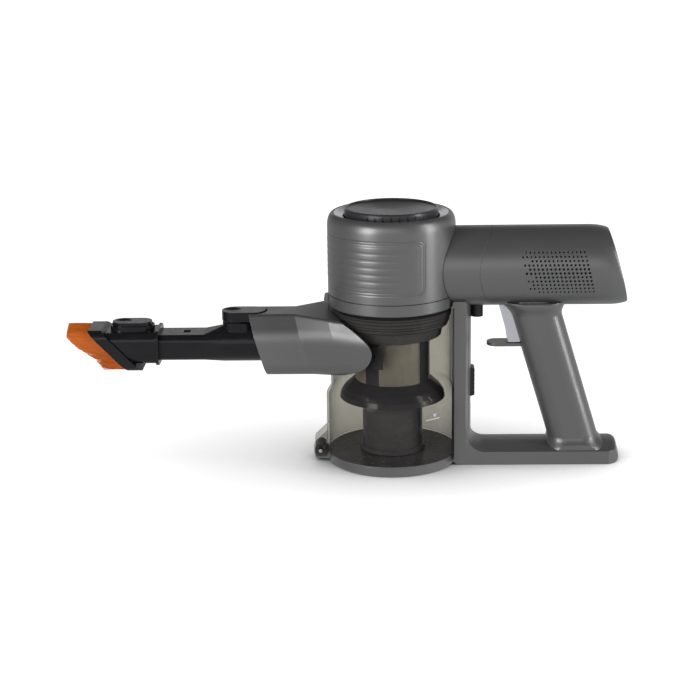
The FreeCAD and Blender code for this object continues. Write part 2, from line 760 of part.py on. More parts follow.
def crevice_tube():
    outer = tube_core(0, -275, -86).cut(front_of_slant(-252.5, 108.6, FRAME_SLANT))
    boss = pill(-152.6, -122.0, 11.6, TOOL_Z + 10, LATCH_Z0 - 1.6)
    ear = box(-136, -130, -2.4, 2.4, TOOL_Z + 14, LATCH_Z1 - 4.3)
    body = outer.fuse(boss.fuse(ear)).cut(tube_core(2.2, -300, -80))
    body = body.cut(rod_y(1.2, -20, 20, LATCH_PIVOT[0], LATCH_PIVOT[1]))
    body = body.cut(box(-188, -182, -4.5, 4.5, CREVICE_Z1 - 1.2, CREVICE_Z1 + 2))
    nib = side_plate([(-178, 95.6, 0.8), (-173.6, 95.6, 0.8), (-173.6, 98, 0), (-178, 98, 0)], -2.5, 2.5)
    return body.fuse(nib)


def tool_latch():
    body = pill(-153, -113.4, 11.9, LATCH_Z0, LATCH_Z1)
    dish = Part.makeSphere(26.0, vec(-143.5, 0, LATCH_Z1 + 24.6))
    body = body.cut(dish)
    body = body.cut(box(-137.6, -128.4, -2.9, 2.9, 120, LATCH_Z1 - 2.9))
    return body.cut(rod_y(1.26, -9.2, 9.2, *LATCH_PIVOT))


def latch_pin():
    return rod_y(1.2, -9.0, 9.0, *LATCH_PIVOT)


def brush_mouth_cut(shape, x_axis):
    """Trims a shape to what lies behind the brush's slanted mouth."""
    return shape.cut(front_of_slant(x_axis, 108.0, FRAME_SLANT))


def sleeve_bore():
    return cross_tube(-330, -190, CREVICE_HALF + GAP, CREVICE_Z0 - GAP, CREVICE_Z1 + GAP, 6.8)


def brush_sleeve():
    body = cross_tube(-280, SLEEVE_REAR, 21.2, 94.4, 122.8, 8)
    lip = cross_tube(SLEEVE_REAR - 2.6, SLEEVE_REAR, 22.6, 92.9, 124.4, 8.5)
    surround = pill(-254.2, -214.3, 12, 118, 127.4)
    body = body.multiFuse([lip, surround])
    body = brush_mouth_cut(body, -243.1)
    body = body.cut(sleeve_bore())
    return body.cut(pill(-252.6, -215.9, 10.4, 123.8, 140))


def brush_frame():
    body = cross_tube(-320, -205, 23.6, 88.4, 125.8, 8)
    body = brush_mouth_cut(body, -255.8)
    behind = cross_tube(-330, -190, 40, 70, 140, 2)
    behind = brush_mouth_cut(behind, -243.3)
    return body.cut(behind).cut(sleeve_bore())


def bristles():
    outline = [(-234, 90.4, 0), (-258.4, 89.6, 0.8), (-264.6, 99.4, 8), (-278, 106, 10), (-291.5, 114, 7),
               (-298.6, 124.6, 2.5), (-250, 124.6, 0)]
    body = side_plate(outline, -22.2, 22.2).common(cross_tube(-330, -200, 22.2, 89.0, 124.8, 7))
    back = cross_tube(-330, -190, 40, 70, 140, 2)
    body = body.cut(brush_mouth_cut(back, -256.0))
    return body.cut(sleeve_bore())


def slide_button():
    body = pill(-252.1, -216.4, 9.9, 125.0, 130.6)
    dish = Part.makeSphere(24.0, vec(-242.2, 0, 130.6 + 22.8))
    return body.cut(dish)


# ---- all nodes ------------------------------------------------------------------------------------
def build():
    left, right = handle_shells()
    nodes = {"handle_shell_left": left, "handle_shell_right": right}
    for make in (handle_screws, finger_guard, trigger, trigger_pin, trigger_spring, trigger_switch,
                 release_slider, release_rod, slider_spring, charging_socket, drum_shell, rear_cap,
                 motor_can, motor_stator, motor_rotor, impeller, motor_bearings, front_bridge, rear_bridge,
                 motor_seal, exhaust_foam, battery_cells, cell_straps, control_board, head_casing,
                 cap_ring, head_trim, head_floor, foam_filter, filter_cap, pleated_filter,
                 filter_end_rings, cup_shell, cup_seal, hinge_pin, shroud_collar, mesh_screen,
                 shroud_ribs, skirt, fines_cup, vortex_cone, vortex_finder, inlet_guide, bottom_flap,
                 flap_seal, inlet_duct, duct_socket, cup_button, crevice_tube, tool_latch, latch_pin,
                 brush_sleeve, brush_frame, bristles, slide_button):
        nodes[make.__name__] = make()
    return nodes


os.makedirs("parts", exist_ok=True)
for name, shape in build().items():
    shape.exportStep("parts/%s.step" % name)
    box_of = shape.BoundBox
    print("%-20s solids %d valid %s volume %.0f  x %.1f..%.1f y %.1f..%.1f z %.1f..%.1f" % (
        name, len(shape.Solids), shape.isValid(), shape.Volume, box_of.XMin, box_of.XMax,
        box_of.YMin, box_of.YMax, box_of.ZMin, box_of.ZMax))
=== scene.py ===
"""Looks of a cordless hand vacuum with a clear dust cup, a pistol grip and a two-in-one crevice brush.

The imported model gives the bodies, sizes and joints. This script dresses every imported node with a
procedural finish, replaces the ones whose surface carries fine relief, and sets up the studio.
"""
import logging
import math
import random
from dataclasses import dataclass
from enum import Enum
from functools import lru_cache
from typing import Any, Callable, Sequence

import bmesh
import bpy
from mathutils import Matrix, Vector


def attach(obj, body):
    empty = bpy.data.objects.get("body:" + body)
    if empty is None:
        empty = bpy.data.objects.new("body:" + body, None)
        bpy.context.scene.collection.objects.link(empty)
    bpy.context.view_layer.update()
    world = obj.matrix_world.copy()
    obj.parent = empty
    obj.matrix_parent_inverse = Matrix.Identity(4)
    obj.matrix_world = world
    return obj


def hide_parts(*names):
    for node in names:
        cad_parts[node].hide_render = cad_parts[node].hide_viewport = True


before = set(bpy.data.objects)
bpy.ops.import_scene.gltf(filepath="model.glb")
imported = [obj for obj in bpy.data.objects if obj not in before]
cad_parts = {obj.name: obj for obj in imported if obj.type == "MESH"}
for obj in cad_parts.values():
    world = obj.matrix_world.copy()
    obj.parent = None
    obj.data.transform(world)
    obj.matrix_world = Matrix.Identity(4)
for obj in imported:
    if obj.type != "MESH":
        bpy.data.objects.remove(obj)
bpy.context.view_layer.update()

MM = 0.001

Rgb = tuple[float, float, float]
Triple = tuple[float, float, float]
Pair = tuple[float, float]
Socket = bpy.types.NodeSocket

log = logging.getLogger("hand_vacuum")


class Solver(Enum):
    """How one mesh is cut by another."""

    QUICK = "MANIFOLD"


class Axis(Enum):
    """The axis that turned, rolled or punched patterns run round."""

    X = 0
    Z = 2


# ---- node graphs -------------------------------------------------------------------------------
class Graph:
    """The node tree of a material or a world, with short calls that add nodes and join them."""

    def __init__(self, owner: bpy.types.Material | bpy.types.World, output: str) -> None:
        """Empties the owner's tree.

        Args:
            owner: the material or world.
            output: the type of its last node.
        """
        owner.use_nodes = True
        self.owner = owner
        self.tree = owner.node_tree
        self.tree.nodes.clear()
        self.output = self.tree.nodes.new(output)

    def add(
        self, kind: str, inputs: dict[str | int, Any] | None = None, **settings: Any
    ) -> bpy.types.Node:
        """Adds a node.

        Args:
            kind: the node's type, such as ShaderNodeTexNoise.
            inputs: what goes into its sockets, by label or number: a value or another node's output.
            settings: the node's own options.

        Returns:
            The new node.
        """
        node = self.tree.nodes.new(kind)
        for option, value in settings.items():
            setattr(node, option, value)
        for label, value in (inputs or {}).items():
            socket = node.inputs[label]
            if isinstance(value, Socket):
                self.tree.links.new(value, socket)
            elif socket.type == "RGBA" and len(value) == 3:
                socket.default_value = (*value, 1.0)
            else:
                socket.default_value = value
        return node

    def place(self, stretch: Triple = (1.0, 1.0, 1.0)) -> Socket:
        """Gives the point on the object, in metres, stretched along the axes.

        Args:
            stretch: how many times each coordinate counts.

        Returns:
            A vector socket.
        """
        point = self.add("ShaderNodeTexCoord").outputs["Object"]
        if stretch == (1.0, 1.0, 1.0):
            return point
        return self.add("ShaderNodeMapping", {"Vector": point, "Scale": stretch}).outputs["Vector"]

    def noise(self, scale: float, detail: float = 2.0, at: Socket | None = None) -> Socket:
        """Gives a noise value from 0 to 1.

        Args:
            scale: cells per metre.
            detail: octaves.
            at: where it is read, if not at the plain point.

        Returns:
            A value socket.
        """
        inputs = {"Vector": at or self.place(), "Scale": scale, "Detail": detail}
        return self.add("ShaderNodeTexNoise", inputs).outputs["Fac"]

    def maths(self, operation: str, first: Any, second: Any = 0.0) -> Socket:
        """Joins two values.

        Args:
            operation: the name of the sum, such as MULTIPLY.
            first: a number or a socket.
            second: a number or a socket.

        Returns:
            A value socket.
        """
        return self.add("ShaderNodeMath", {0: first, 1: second}, operation=operation).outputs["Value"]

    def span(self, value: Socket, low: float, high: float, out_low: float, out_high: float) -> Socket:
        """Maps a value from one range to another and stops at its ends.

        Args:
            value: what is mapped.
            low: where the first range starts.
            high: where it ends.
            out_low: the result at low.
            out_high: the result at high.

        Returns:
            A value socket.
        """
        inputs = {
            "Value": value,
            "From Min": low,
            "From Max": high,
            "To Min": out_low,
            "To Max": out_high,
        }
        return self.add("ShaderNodeMapRange", inputs).outputs["Result"]

    def mixed(self, low: Any, high: Any, amount: Any) -> Socket:
        """Blends two colours.

        Args:
            low: the colour at 0.
            high: the colour at 1.
            amount: how much of the second.

        Returns:
            A colour socket.
        """
        inputs = {"Fac": amount, "Color1": low, "Color2": high}
        return self.add("ShaderNodeMixRGB", inputs).outputs["Color"]

    def softened(self, radius: float) -> Socket:
        """Gives the surface normal with its edges rounded.

        Args:
            radius: of the rounding, in metres.

        Returns:
            A vector socket.
        """
        return self.add("ShaderNodeBevel", {"Radius": radius}, samples=4).outputs["Normal"]

    def worn_edges(self, radius: float) -> Socket:
        """Gives 1 on sharp edges and 0 on open surfaces, broken up where hands rub less.

        Args:
            radius: how wide the worn line is, in metres.

        Returns:
            A value socket.
        """
        flat = self.add("ShaderNodeNewGeometry").outputs["Normal"]
        inputs = {0: self.softened(radius), 1: flat}
        node = self.add("ShaderNodeVectorMath", inputs, operation="DOT_PRODUCT")
        edge = self.span(node.outputs["Value"], 0.99, 0.86, 0.0, 1.0)
        return self.maths("MULTIPLY", edge, self.span(self.noise(90.0, 3.0), 0.4, 0.65, 0.25, 1.0))

    def relief(
        self, height: Socket, distance: float, strength: float, normal: Socket | None = None
    ) -> Socket:
        """Turns a height into a surface normal.

        Args:
            height: from 0 to 1.
            distance: what a height of 1 stands for, in metres.
            strength: how much of the effect is kept.
            normal: the normal that it starts from.

        Returns:
            A vector socket.
        """
        inputs = {"Height": height, "Distance": distance, "Strength": strength}
        if normal is not None:
            inputs["Normal"] = normal
        return self.add("ShaderNodeBump", inputs).outputs["Normal"]

    def polar(self, axis: Axis, centre: Pair = (0.0, 0.0)) -> tuple[Socket, Socket, Socket]:
        """Gives cylinder coordinates about an axis.

        Args:
            axis: the direction of the axis.
            centre: where the axis crosses the other two coordinates, in metres.

        Returns:
            The angle, the radius and the height, as value sockets.
        """
        parts = self.add("ShaderNodeSeparateXYZ", {"Vector": self.place()}).outputs
        others = [i for i in range(3) if i != axis.value]
        u = self.maths("SUBTRACT", parts[others[0]], centre[0])
        v = self.maths("SUBTRACT", parts[others[1]], centre[1])
        angle = self.maths("ARCTAN2", v, u)
        squares = self.maths("ADD", self.maths("MULTIPLY", u, u), self.maths("MULTIPLY", v, v))
        return angle, self.maths("SQRT", squares), parts[axis.value]

    def blend(self, amount: Socket, low: bpy.types.Node, high: bpy.types.Node) -> bpy.types.Node:
        """Blends two shaders.

        Args:
            amount: how much of the second.
            low: the shader at 0.
            high: the shader at 1.

        Returns:
            The blended shader.
        """
        both = self.add("ShaderNodeMixShader", {"Fac": amount})
        for socket, shader in zip(both.inputs[1:], (low, high)):
            self.tree.links.new(shader.outputs[0], socket)
        return both

    def close(self, shader: bpy.types.Node) -> Any:
        """Ends the tree with a shader.

        Args:
            shader: the last shader node.

        Returns:
            The finished material or world.
        """
        self.tree.links.new(shader.outputs[0], self.output.inputs["Surface"])
        return self.owner

    def surface(self, inputs: dict[str | int, Any]) -> bpy.types.Material:
        """Ends the tree with a surface shader.

        Args:
            inputs: what goes into the shader's sockets.

        Returns:
            The finished material.
        """
        return self.close(self.add("ShaderNodeBsdfPrincipled", inputs))


# ---- finishes ----------------------------------------------------------------------------------
@dataclass(frozen=True)
class Finish:
    """What all finishes share: a name and a way to be made."""

    name: str

    def graph(self) -> Graph:
        """Starts the material.

        Returns:
            Its empty node tree.
        """
        return Graph(bpy.data.materials.new(self.name), "ShaderNodeOutputMaterial")

    def make(self) -> bpy.types.Material:
        """Makes the material."""
        raise NotImplementedError


@lru_cache(maxsize=None)
def made(finish: Finish) -> bpy.types.Material:
    """Makes a finish once, however many pieces wear it.

    Args:
        finish: the finish.

    Returns:
        Its material.
    """
    return finish.make()


@dataclass(frozen=True)
class SatinPaint(Finish):
    """Metallic satin paint over moulded plastic, with fine flake and light rubbing on the edges."""

    colour: Rgb = (0.15, 0.15, 0.15)
    worn: Rgb = (0.34, 0.34, 0.34)
    metallic: float = 0.55
    rough: float = 0.36
    flake: float = 0.12
    orange_peel: float = 0.10
    edge: float = 0.0005

    def make(self) -> bpy.types.Material:
        """Makes the material."""
        g = self.graph()
        flake = g.noise(9000.0, 1.0)
        cloud = g.noise(14.0, 3.0)
        low = tuple(c * (1.0 - self.flake) for c in self.colour)
        high = tuple(c * (1.0 + self.flake) for c in self.colour)
        flaked = g.mixed(low, high, flake)
        clouded = g.mixed(flaked, high, g.span(cloud, 0.45, 0.8, 0.0, 0.22))
        rubbed = g.mixed(clouded, self.worn, g.maths("MULTIPLY", g.worn_edges(self.edge), 0.45))
        rough = g.span(g.noise(45.0, 4.0), 0.3, 0.7, self.rough - 0.03, self.rough + 0.04)
        rounded = g.softened(self.edge)
        peel = g.relief(g.noise(1400.0, 2.0), 0.00004, self.orange_peel, rounded)
        grain = g.relief(flake, 0.00001, 0.25, peel)
        inputs = {
            "Base Color": rubbed,
            "Metallic": self.metallic,
            "Roughness": rough,
            "Specular IOR Level": 0.5,
            "Coat Weight": 0.12,
            "Coat Roughness": 0.35,
            "Normal": grain,
        }
        return g.surface(inputs)


@dataclass(frozen=True)
class MouldedPlastic(Finish):
    """Plain moulded plastic with a fine spark-eroded grain, faint flow marks and rubbed edges."""

    colour: Rgb = (0.012, 0.012, 0.012)
    worn: Rgb = (0.05, 0.05, 0.05)
    rough: float = 0.34
    grain: float = 0.2
    grain_scale: float = 2600.0
    edge: float = 0.0004
    gloss: float = 0.5

    def make(self) -> bpy.types.Material:
        """Makes the material."""
        g = self.graph()
        flow = g.noise(30.0, 4.0, g.place((1.0, 3.0, 3.0)))
        lighter = tuple(min(1.0, c * 1.35 + 0.002) for c in self.colour)
        base = g.mixed(self.colour, lighter, g.span(flow, 0.4, 0.75, 0.0, 0.8))
        rubbed = g.mixed(base, self.worn, g.maths("MULTIPLY", g.worn_edges(self.edge), 0.5))
        rough = g.span(g.noise(120.0, 5.0), 0.3, 0.72, self.rough - 0.05, self.rough + 0.06)
        rounded = g.softened(self.edge)
        grain = g.relief(g.noise(self.grain_scale, 3.0), 0.00003, self.grain, rounded)
        inputs = {
            "Base Color": rubbed,
            "Roughness": rough,
            "Specular IOR Level": self.gloss,
            "Normal": grain,
        }
        return g.surface(inputs)


@dataclass(frozen=True)
class SmokedClear(Finish):
    """Clear smoked plastic that tints what is behind it, shines at a glance and holds a dusty film."""

    tint: Rgb = (0.775, 0.765, 0.735)
    haze: Rgb = (0.10, 0.10, 0.10)
    haze_amount: float = 0.03
    head_on: float = 0.03
    falloff: float = 5.0
    rough: float = 0.04
    ior: float = 1.5

    def make(self) -> bpy.types.Material:
        """Makes the material."""
        g = self.graph()
        swirl = g.noise(60.0, 4.0, g.place((1.0, 1.0, 0.4)))
        darker = tuple(c * 0.93 for c in self.tint)
        clear = g.add("ShaderNodeBsdfTransparent", {"Color": g.mixed(self.tint, darker, swirl)})
        wave = g.relief(g.noise(55.0, 2.0), 0.0003, 0.05)
        streaks = g.noise(700.0, 6.0, g.place((1.0, 1.0, 0.1)))
        scuffs = g.span(streaks, 0.55, 0.75, self.rough, self.rough + 0.10)
        inputs = {"Base Color": self.haze, "Roughness": scuffs, "IOR": self.ior, "Normal": wave}
        shine = g.add("ShaderNodeBsdfPrincipled", inputs)
        facing = g.add("ShaderNodeLayerWeight", {"Blend": 0.5, "Normal": wave}).outputs["Facing"]
        glance = g.maths("MULTIPLY", g.maths("POWER", facing, self.falloff), 1.0 - self.head_on)
        film = g.span(g.noise(25.0, 5.0), 0.35, 0.8, self.head_on, self.head_on + self.haze_amount)
        amount = g.maths("MINIMUM", g.maths("ADD", glance, film), 1.0)
        return g.close(g.blend(amount, clear, shine))


@dataclass(frozen=True)
class SoftRubber(Finish):
    """Matt moulded rubber with a soft bloom."""

    colour: Rgb = (0.010, 0.010, 0.011)
    bloom: Rgb = (0.035, 0.035, 0.036)

    def make(self) -> bpy.types.Material:
        """Makes the material."""
        g = self.graph()
        colour = g.mixed(self.colour, self.bloom, g.span(g.noise(80.0, 5.0), 0.4, 0.75, 0.0, 0.6))
        normal = g.relief(g.noise(3200.0, 2.0), 0.00004, 0.3, g.softened(0.0003))
        inputs = {
            "Base Color": colour,
            "Roughness": 0.62,
            "Specular IOR Level": 0.3,
            "Normal": normal,
        }
        return g.surface(inputs)


@dataclass(frozen=True)
class TurnedMetal(Finish):
    """Metal with the fine lines that a lathe or a brush leaves round an axis."""

    colour: Rgb = (0.5, 0.5, 0.5)
    rough: float = 0.32
    axis: Axis = Axis.Z
    centre: Pair = (0.0, 0.0)
    lines: float = 2600.0
    depth: float = 0.25
    metallic: float = 1.0

    def make(self) -> bpy.types.Material:
        """Makes the material."""
        g = self.graph()
        _, radius, height = g.polar(self.axis, self.centre)
        along = g.add("ShaderNodeCombineXYZ", {"X": radius, "Y": height}).outputs["Vector"]
        line = g.noise(self.lines, 3.0, along)
        dark = tuple(c * 0.82 for c in self.colour)
        colour = g.mixed(dark, self.colour, g.span(line, 0.3, 0.7, 0.0, 1.0))
        smudge = g.span(g.noise(40.0, 4.0), 0.4, 0.75, self.rough, self.rough + 0.10)
        normal = g.relief(line, 0.00002, self.depth, g.softened(0.0004))
        inputs = {
            "Base Color": colour,
            "Metallic": self.metallic,
            "Roughness": smudge,
            "Normal": normal,
        }
        return g.surface(inputs)


@dataclass(frozen=True)
class PunchedScreen(Finish):
    """Thin metal screen with rows of punched holes, staggered from row to row, seen as dark points."""

    colour: Rgb = (0.90, 0.85, 0.76)
    hole: Rgb = (0.07, 0.065, 0.06)
    radius: float = 0.0338
    pitch: float = 0.0011

    def make(self) -> bpy.types.Material:
        """Makes the material."""
        g = self.graph()
        angle, _, height = g.polar(Axis.Z)
        count = round(2.0 * math.pi * self.radius / self.pitch)
        across = g.maths("MULTIPLY", angle, count / (2.0 * math.pi))
        up = g.maths("DIVIDE", height, self.pitch * 0.75)
        odd = g.maths("MULTIPLY", g.maths("MODULO", g.maths("FLOOR", up), 2.0), 0.5)
        u = g.maths("SUBTRACT", g.maths("FRACT", g.maths("ADD", across, odd)), 0.5)
        v = g.maths("MULTIPLY", g.maths("SUBTRACT", g.maths("FRACT", up), 0.5), 0.75)
        squares = g.maths("ADD", g.maths("MULTIPLY", u, u), g.maths("MULTIPLY", v, v))
        open_part = g.span(g.maths("SQRT", squares), 0.22, 0.32, 1.0, 0.0)
        tone_shift = g.span(g.noise(50.0, 4.0), 0.3, 0.75, 0.8, 1.1)
        tinted = g.mixed((0.0, 0.0, 0.0), self.colour, tone_shift)
        colour = g.mixed(tinted, self.hole, open_part)
        normal = g.relief(g.maths("SUBTRACT", 1.0, open_part), 0.0003, 0.5)
        inputs = {"Base Color": colour, "Metallic": 0.75, "Roughness": 0.38, "Normal": normal}
        return g.surface(inputs)


@dataclass(frozen=True)
class OpenFoam(Finish):
    """Open-cell filter foam."""

    colour: Rgb = (0.03, 0.03, 0.033)
    pale: Rgb = (0.09, 0.09, 0.095)
    cell: float = 1100.0

    def make(self) -> bpy.types.Material:
        """Makes the material."""
        g = self.graph()
        cells = g.add("ShaderNodeTexVoronoi", {"Vector": g.place(), "Scale": self.cell})
        wall = g.span(cells.outputs["Distance"], 0.15, 0.6, 0.0, 1.0)
        colour = g.mixed(self.colour, self.pale, wall)
        normal = g.relief(wall, 0.0006, 0.8)
        inputs = {
            "Base Color": colour,
            "Roughness": 0.95,
            "Specular IOR Level": 0.15,
            "Normal": normal,
        }
        return g.surface(inputs)


@dataclass(frozen=True)
class FilterPaper(Finish):
    """Pleated filter paper: matt fibres, darker and browner towards the inner radius of the pleats."""

    colour: Rgb = (0.72, 0.71, 0.66)
    tone_shift: Rgb = (0.38, 0.36, 0.31)

    def make(self) -> bpy.types.Material:
        """Makes the material."""
        g = self.graph()
        _, radius, _ = g.polar(Axis.Z)
        depth = g.span(radius, 0.031, 0.038, 1.0, 0.0)
        fibre = g.noise(2400.0, 4.0, g.place((1.0, 1.0, 0.35)))
        fibres = g.mixed(self.colour, tuple(c * 0.85 for c in self.colour), fibre)
        # darker and browner towards the inner radius of the pleats
        colour = g.mixed(fibres, self.tone_shift, g.maths("MULTIPLY", depth, 0.7))
        inputs = {"Base Color": colour, "Roughness": 0.9, "Normal": g.relief(fibre, 0.00008, 0.5)}
        return g.surface(inputs)


@dataclass(frozen=True)
class BristleFibre(Finish):
    """Nylon bristle, a little darker at the root and paler at the tip."""

    root: Rgb = (0.50, 0.10, 0.004)
    tip: Rgb = (0.74, 0.175, 0.008)
    root_x: float = -0.256
    tip_x: float = -0.294

    def make(self) -> bpy.types.Material:
        """Makes the material."""
        g = self.graph()
        x = g.add("ShaderNodeSeparateXYZ", {"Vector": g.place()}).outputs["X"]
        along = g.span(x, self.root_x, self.tip_x, 0.0, 1.0)
        streak = g.noise(1500.0, 2.0, g.place((0.05, 1.0, 1.0)))
        # darker towards the root end and paler towards the tip, along x
        base = g.mixed(self.root, self.tip, along)
        deep = tuple(c * 0.6 for c in self.root)
        colour = g.mixed(base, deep, g.span(streak, 0.45, 0.75, 0.0, 0.45))
        inputs = {
            "Base Color": colour,
            "Roughness": 0.42,
            "Specular IOR Level": 0.4,
            "Subsurface Weight": 0.15,
            "Subsurface Radius": (0.002, 0.0008, 0.0003),
            "Normal": g.relief(streak, 0.00005, 0.2),
        }
        return g.surface(inputs)


@dataclass(frozen=True)
class CircuitBoard(Finish):
    """Solder resist over copper tracks."""

    resist: Rgb = (0.012, 0.10, 0.035)
    track: Rgb = (0.03, 0.19, 0.07)

    def make(self) -> bpy.types.Material:
        """Makes the material."""
        g = self.graph()
        inputs = {"Vector": g.place(), "Scale": 260.0}
        cells = g.add("ShaderNodeTexVoronoi", inputs, distance="MANHATTAN", feature="F2")
        lanes = g.maths("FRACT", g.maths("MULTIPLY", cells.outputs["Distance"], 5.0))
        line = g.span(lanes, 0.42, 0.5, 0.0, 1.0)
        colour = g.mixed(self.resist, self.track, line)
        inputs = {"Base Color": colour, "Roughness": 0.3, "Normal": g.relief(line, 0.00005, 0.5)}
        return g.surface(inputs)


@dataclass(frozen=True)
class PrintedMark(Finish):
    """Screen-printed ink, slightly uneven."""

    colour: Rgb = (0.62, 0.62, 0.62)

    def make(self) -> bpy.types.Material:
        """Makes the material."""
        g = self.graph()
        patchy = g.span(g.noise(2500.0, 3.0), 0.3, 0.7, 0.0, 0.35)
        colour = g.mixed(self.colour, tuple(c * 0.75 for c in self.colour), patchy)
        inputs = {"Base Color": colour, "Roughness": 0.55, "Normal": g.relief(patchy, 0.00001, 0.3)}
        return g.surface(inputs)


@dataclass(frozen=True)
class PaperSweep(Finish):
    """The studio's matt pale sweep, which glows white by emission, with a painted contact shadow that
    lowers its glow and greys its colour near the object.
    """

    colour: Rgb = (0.55, 0.55, 0.55)
    shadow_glow: float = 0.0
    far_glow: float = 1.0
    shadow_reach: float = 0.16

    def make(self) -> bpy.types.Material:
        """Makes the material."""
        g = self.graph()
        colour = g.mixed(self.colour, tuple(c * 0.985 for c in self.colour), g.noise(6.0, 2.0))
        away = g.add("ShaderNodeVectorMath", {0: g.place()}, operation="LENGTH").outputs["Value"]
        # ambient occlusion near the object: painted contact shadow on the floor's glow and colour
        shade = g.add("ShaderNodeAmbientOcclusion", {"Distance": self.shadow_reach}, samples=8)
        open_sky = shade.outputs["AO"]
        near = g.span(open_sky, 0.2, 1.0, self.shadow_glow, self.far_glow)
        glow = g.maths("MAXIMUM", near, g.span(away, 0.5, 0.9, 0.0, self.far_glow))
        inputs = {
            # base colour greys where occluded: painted contact shadow
            "Base Color": g.mixed((0.1, 0.1, 0.1), colour, open_sky),
            "Roughness": 0.9,
            "Specular IOR Level": 0.1,
            "Emission Color": (1.0, 1.0, 1.0),
            "Emission Strength": glow,
        }
        return g.surface(inputs)


GUNMETAL = SatinPaint("gunmetal_paint", colour=(0.146, 0.146, 0.146))
TRIM_PAINT = SatinPaint("trim_paint", colour=(0.144, 0.144, 0.145))
RING_SILVER = SatinPaint(
    "silver_ring", colour=(0.86, 0.86, 0.91), worn=(0.8, 0.8, 0.82), metallic=0.8, rough=0.3
)
TRIGGER_SILVER = SatinPaint(
    "silver_trigger", colour=(0.56, 0.56, 0.60), worn=(0.6, 0.6, 0.6), metallic=0.4
)
CAP_GREY = TurnedMetal(
    "spun_cap", colour=(0.085, 0.085, 0.09), rough=0.27, metallic=0.6, depth=0.12, lines=1500.0
)
TOOL_BLACK = MouldedPlastic(
    "tool_black",
    colour=(0.009, 0.009, 0.0105),
    worn=(0.02, 0.02, 0.021),
    rough=0.21,
    grain=0.05,
    gloss=0.28,
)
SOCKET_BLACK = MouldedPlastic("socket_black", colour=(0.010, 0.010, 0.010), rough=0.4)
CYCLONE_DARK = MouldedPlastic(
    "cyclone_dark", colour=(0.075, 0.072, 0.092), worn=(0.08, 0.08, 0.09), rough=0.18, grain=0.05
)
CYCLONE_GREY = MouldedPlastic(
    "cyclone_grey", colour=(0.145, 0.142, 0.165), worn=(0.15, 0.15, 0.16), rough=0.24, grain=0.06
)
RUBBER = SoftRubber("seal_rubber")
STEEL = TurnedMetal("screw_steel_bright", colour=(0.56, 0.56, 0.57), rough=0.28)
MOTOR_STEEL = TurnedMetal(
    "motor_steel_turned", colour=(0.48, 0.48, 0.49), axis=Axis.X, centre=(0.0, 0.1794)
)
IMPELLER_GREY = MouldedPlastic("impeller_grey_moulded", colour=(0.10, 0.10, 0.105), rough=0.4)
FOAM = OpenFoam("filter_foam_open")
PAPER = FilterPaper("filter_paper_pleated")
CELL_WRAP = MouldedPlastic(
    "cell_sleeve", colour=(0.02, 0.09, 0.20), worn=(0.1, 0.2, 0.3), rough=0.3, grain=0.05
)
NICKEL = TurnedMetal("strap_nickel_rolled", colour=(0.66, 0.64, 0.58), rough=0.34)
BOARD = CircuitBoard("control_board_resist")
CLEAR = SmokedClear("smoked_clear")
SCREEN = PunchedScreen("punched_screen")
ORANGE = BristleFibre("orange_bristle")
INK = PrintedMark("pale_ink")
SWEEP = PaperSweep("paper_sweep")


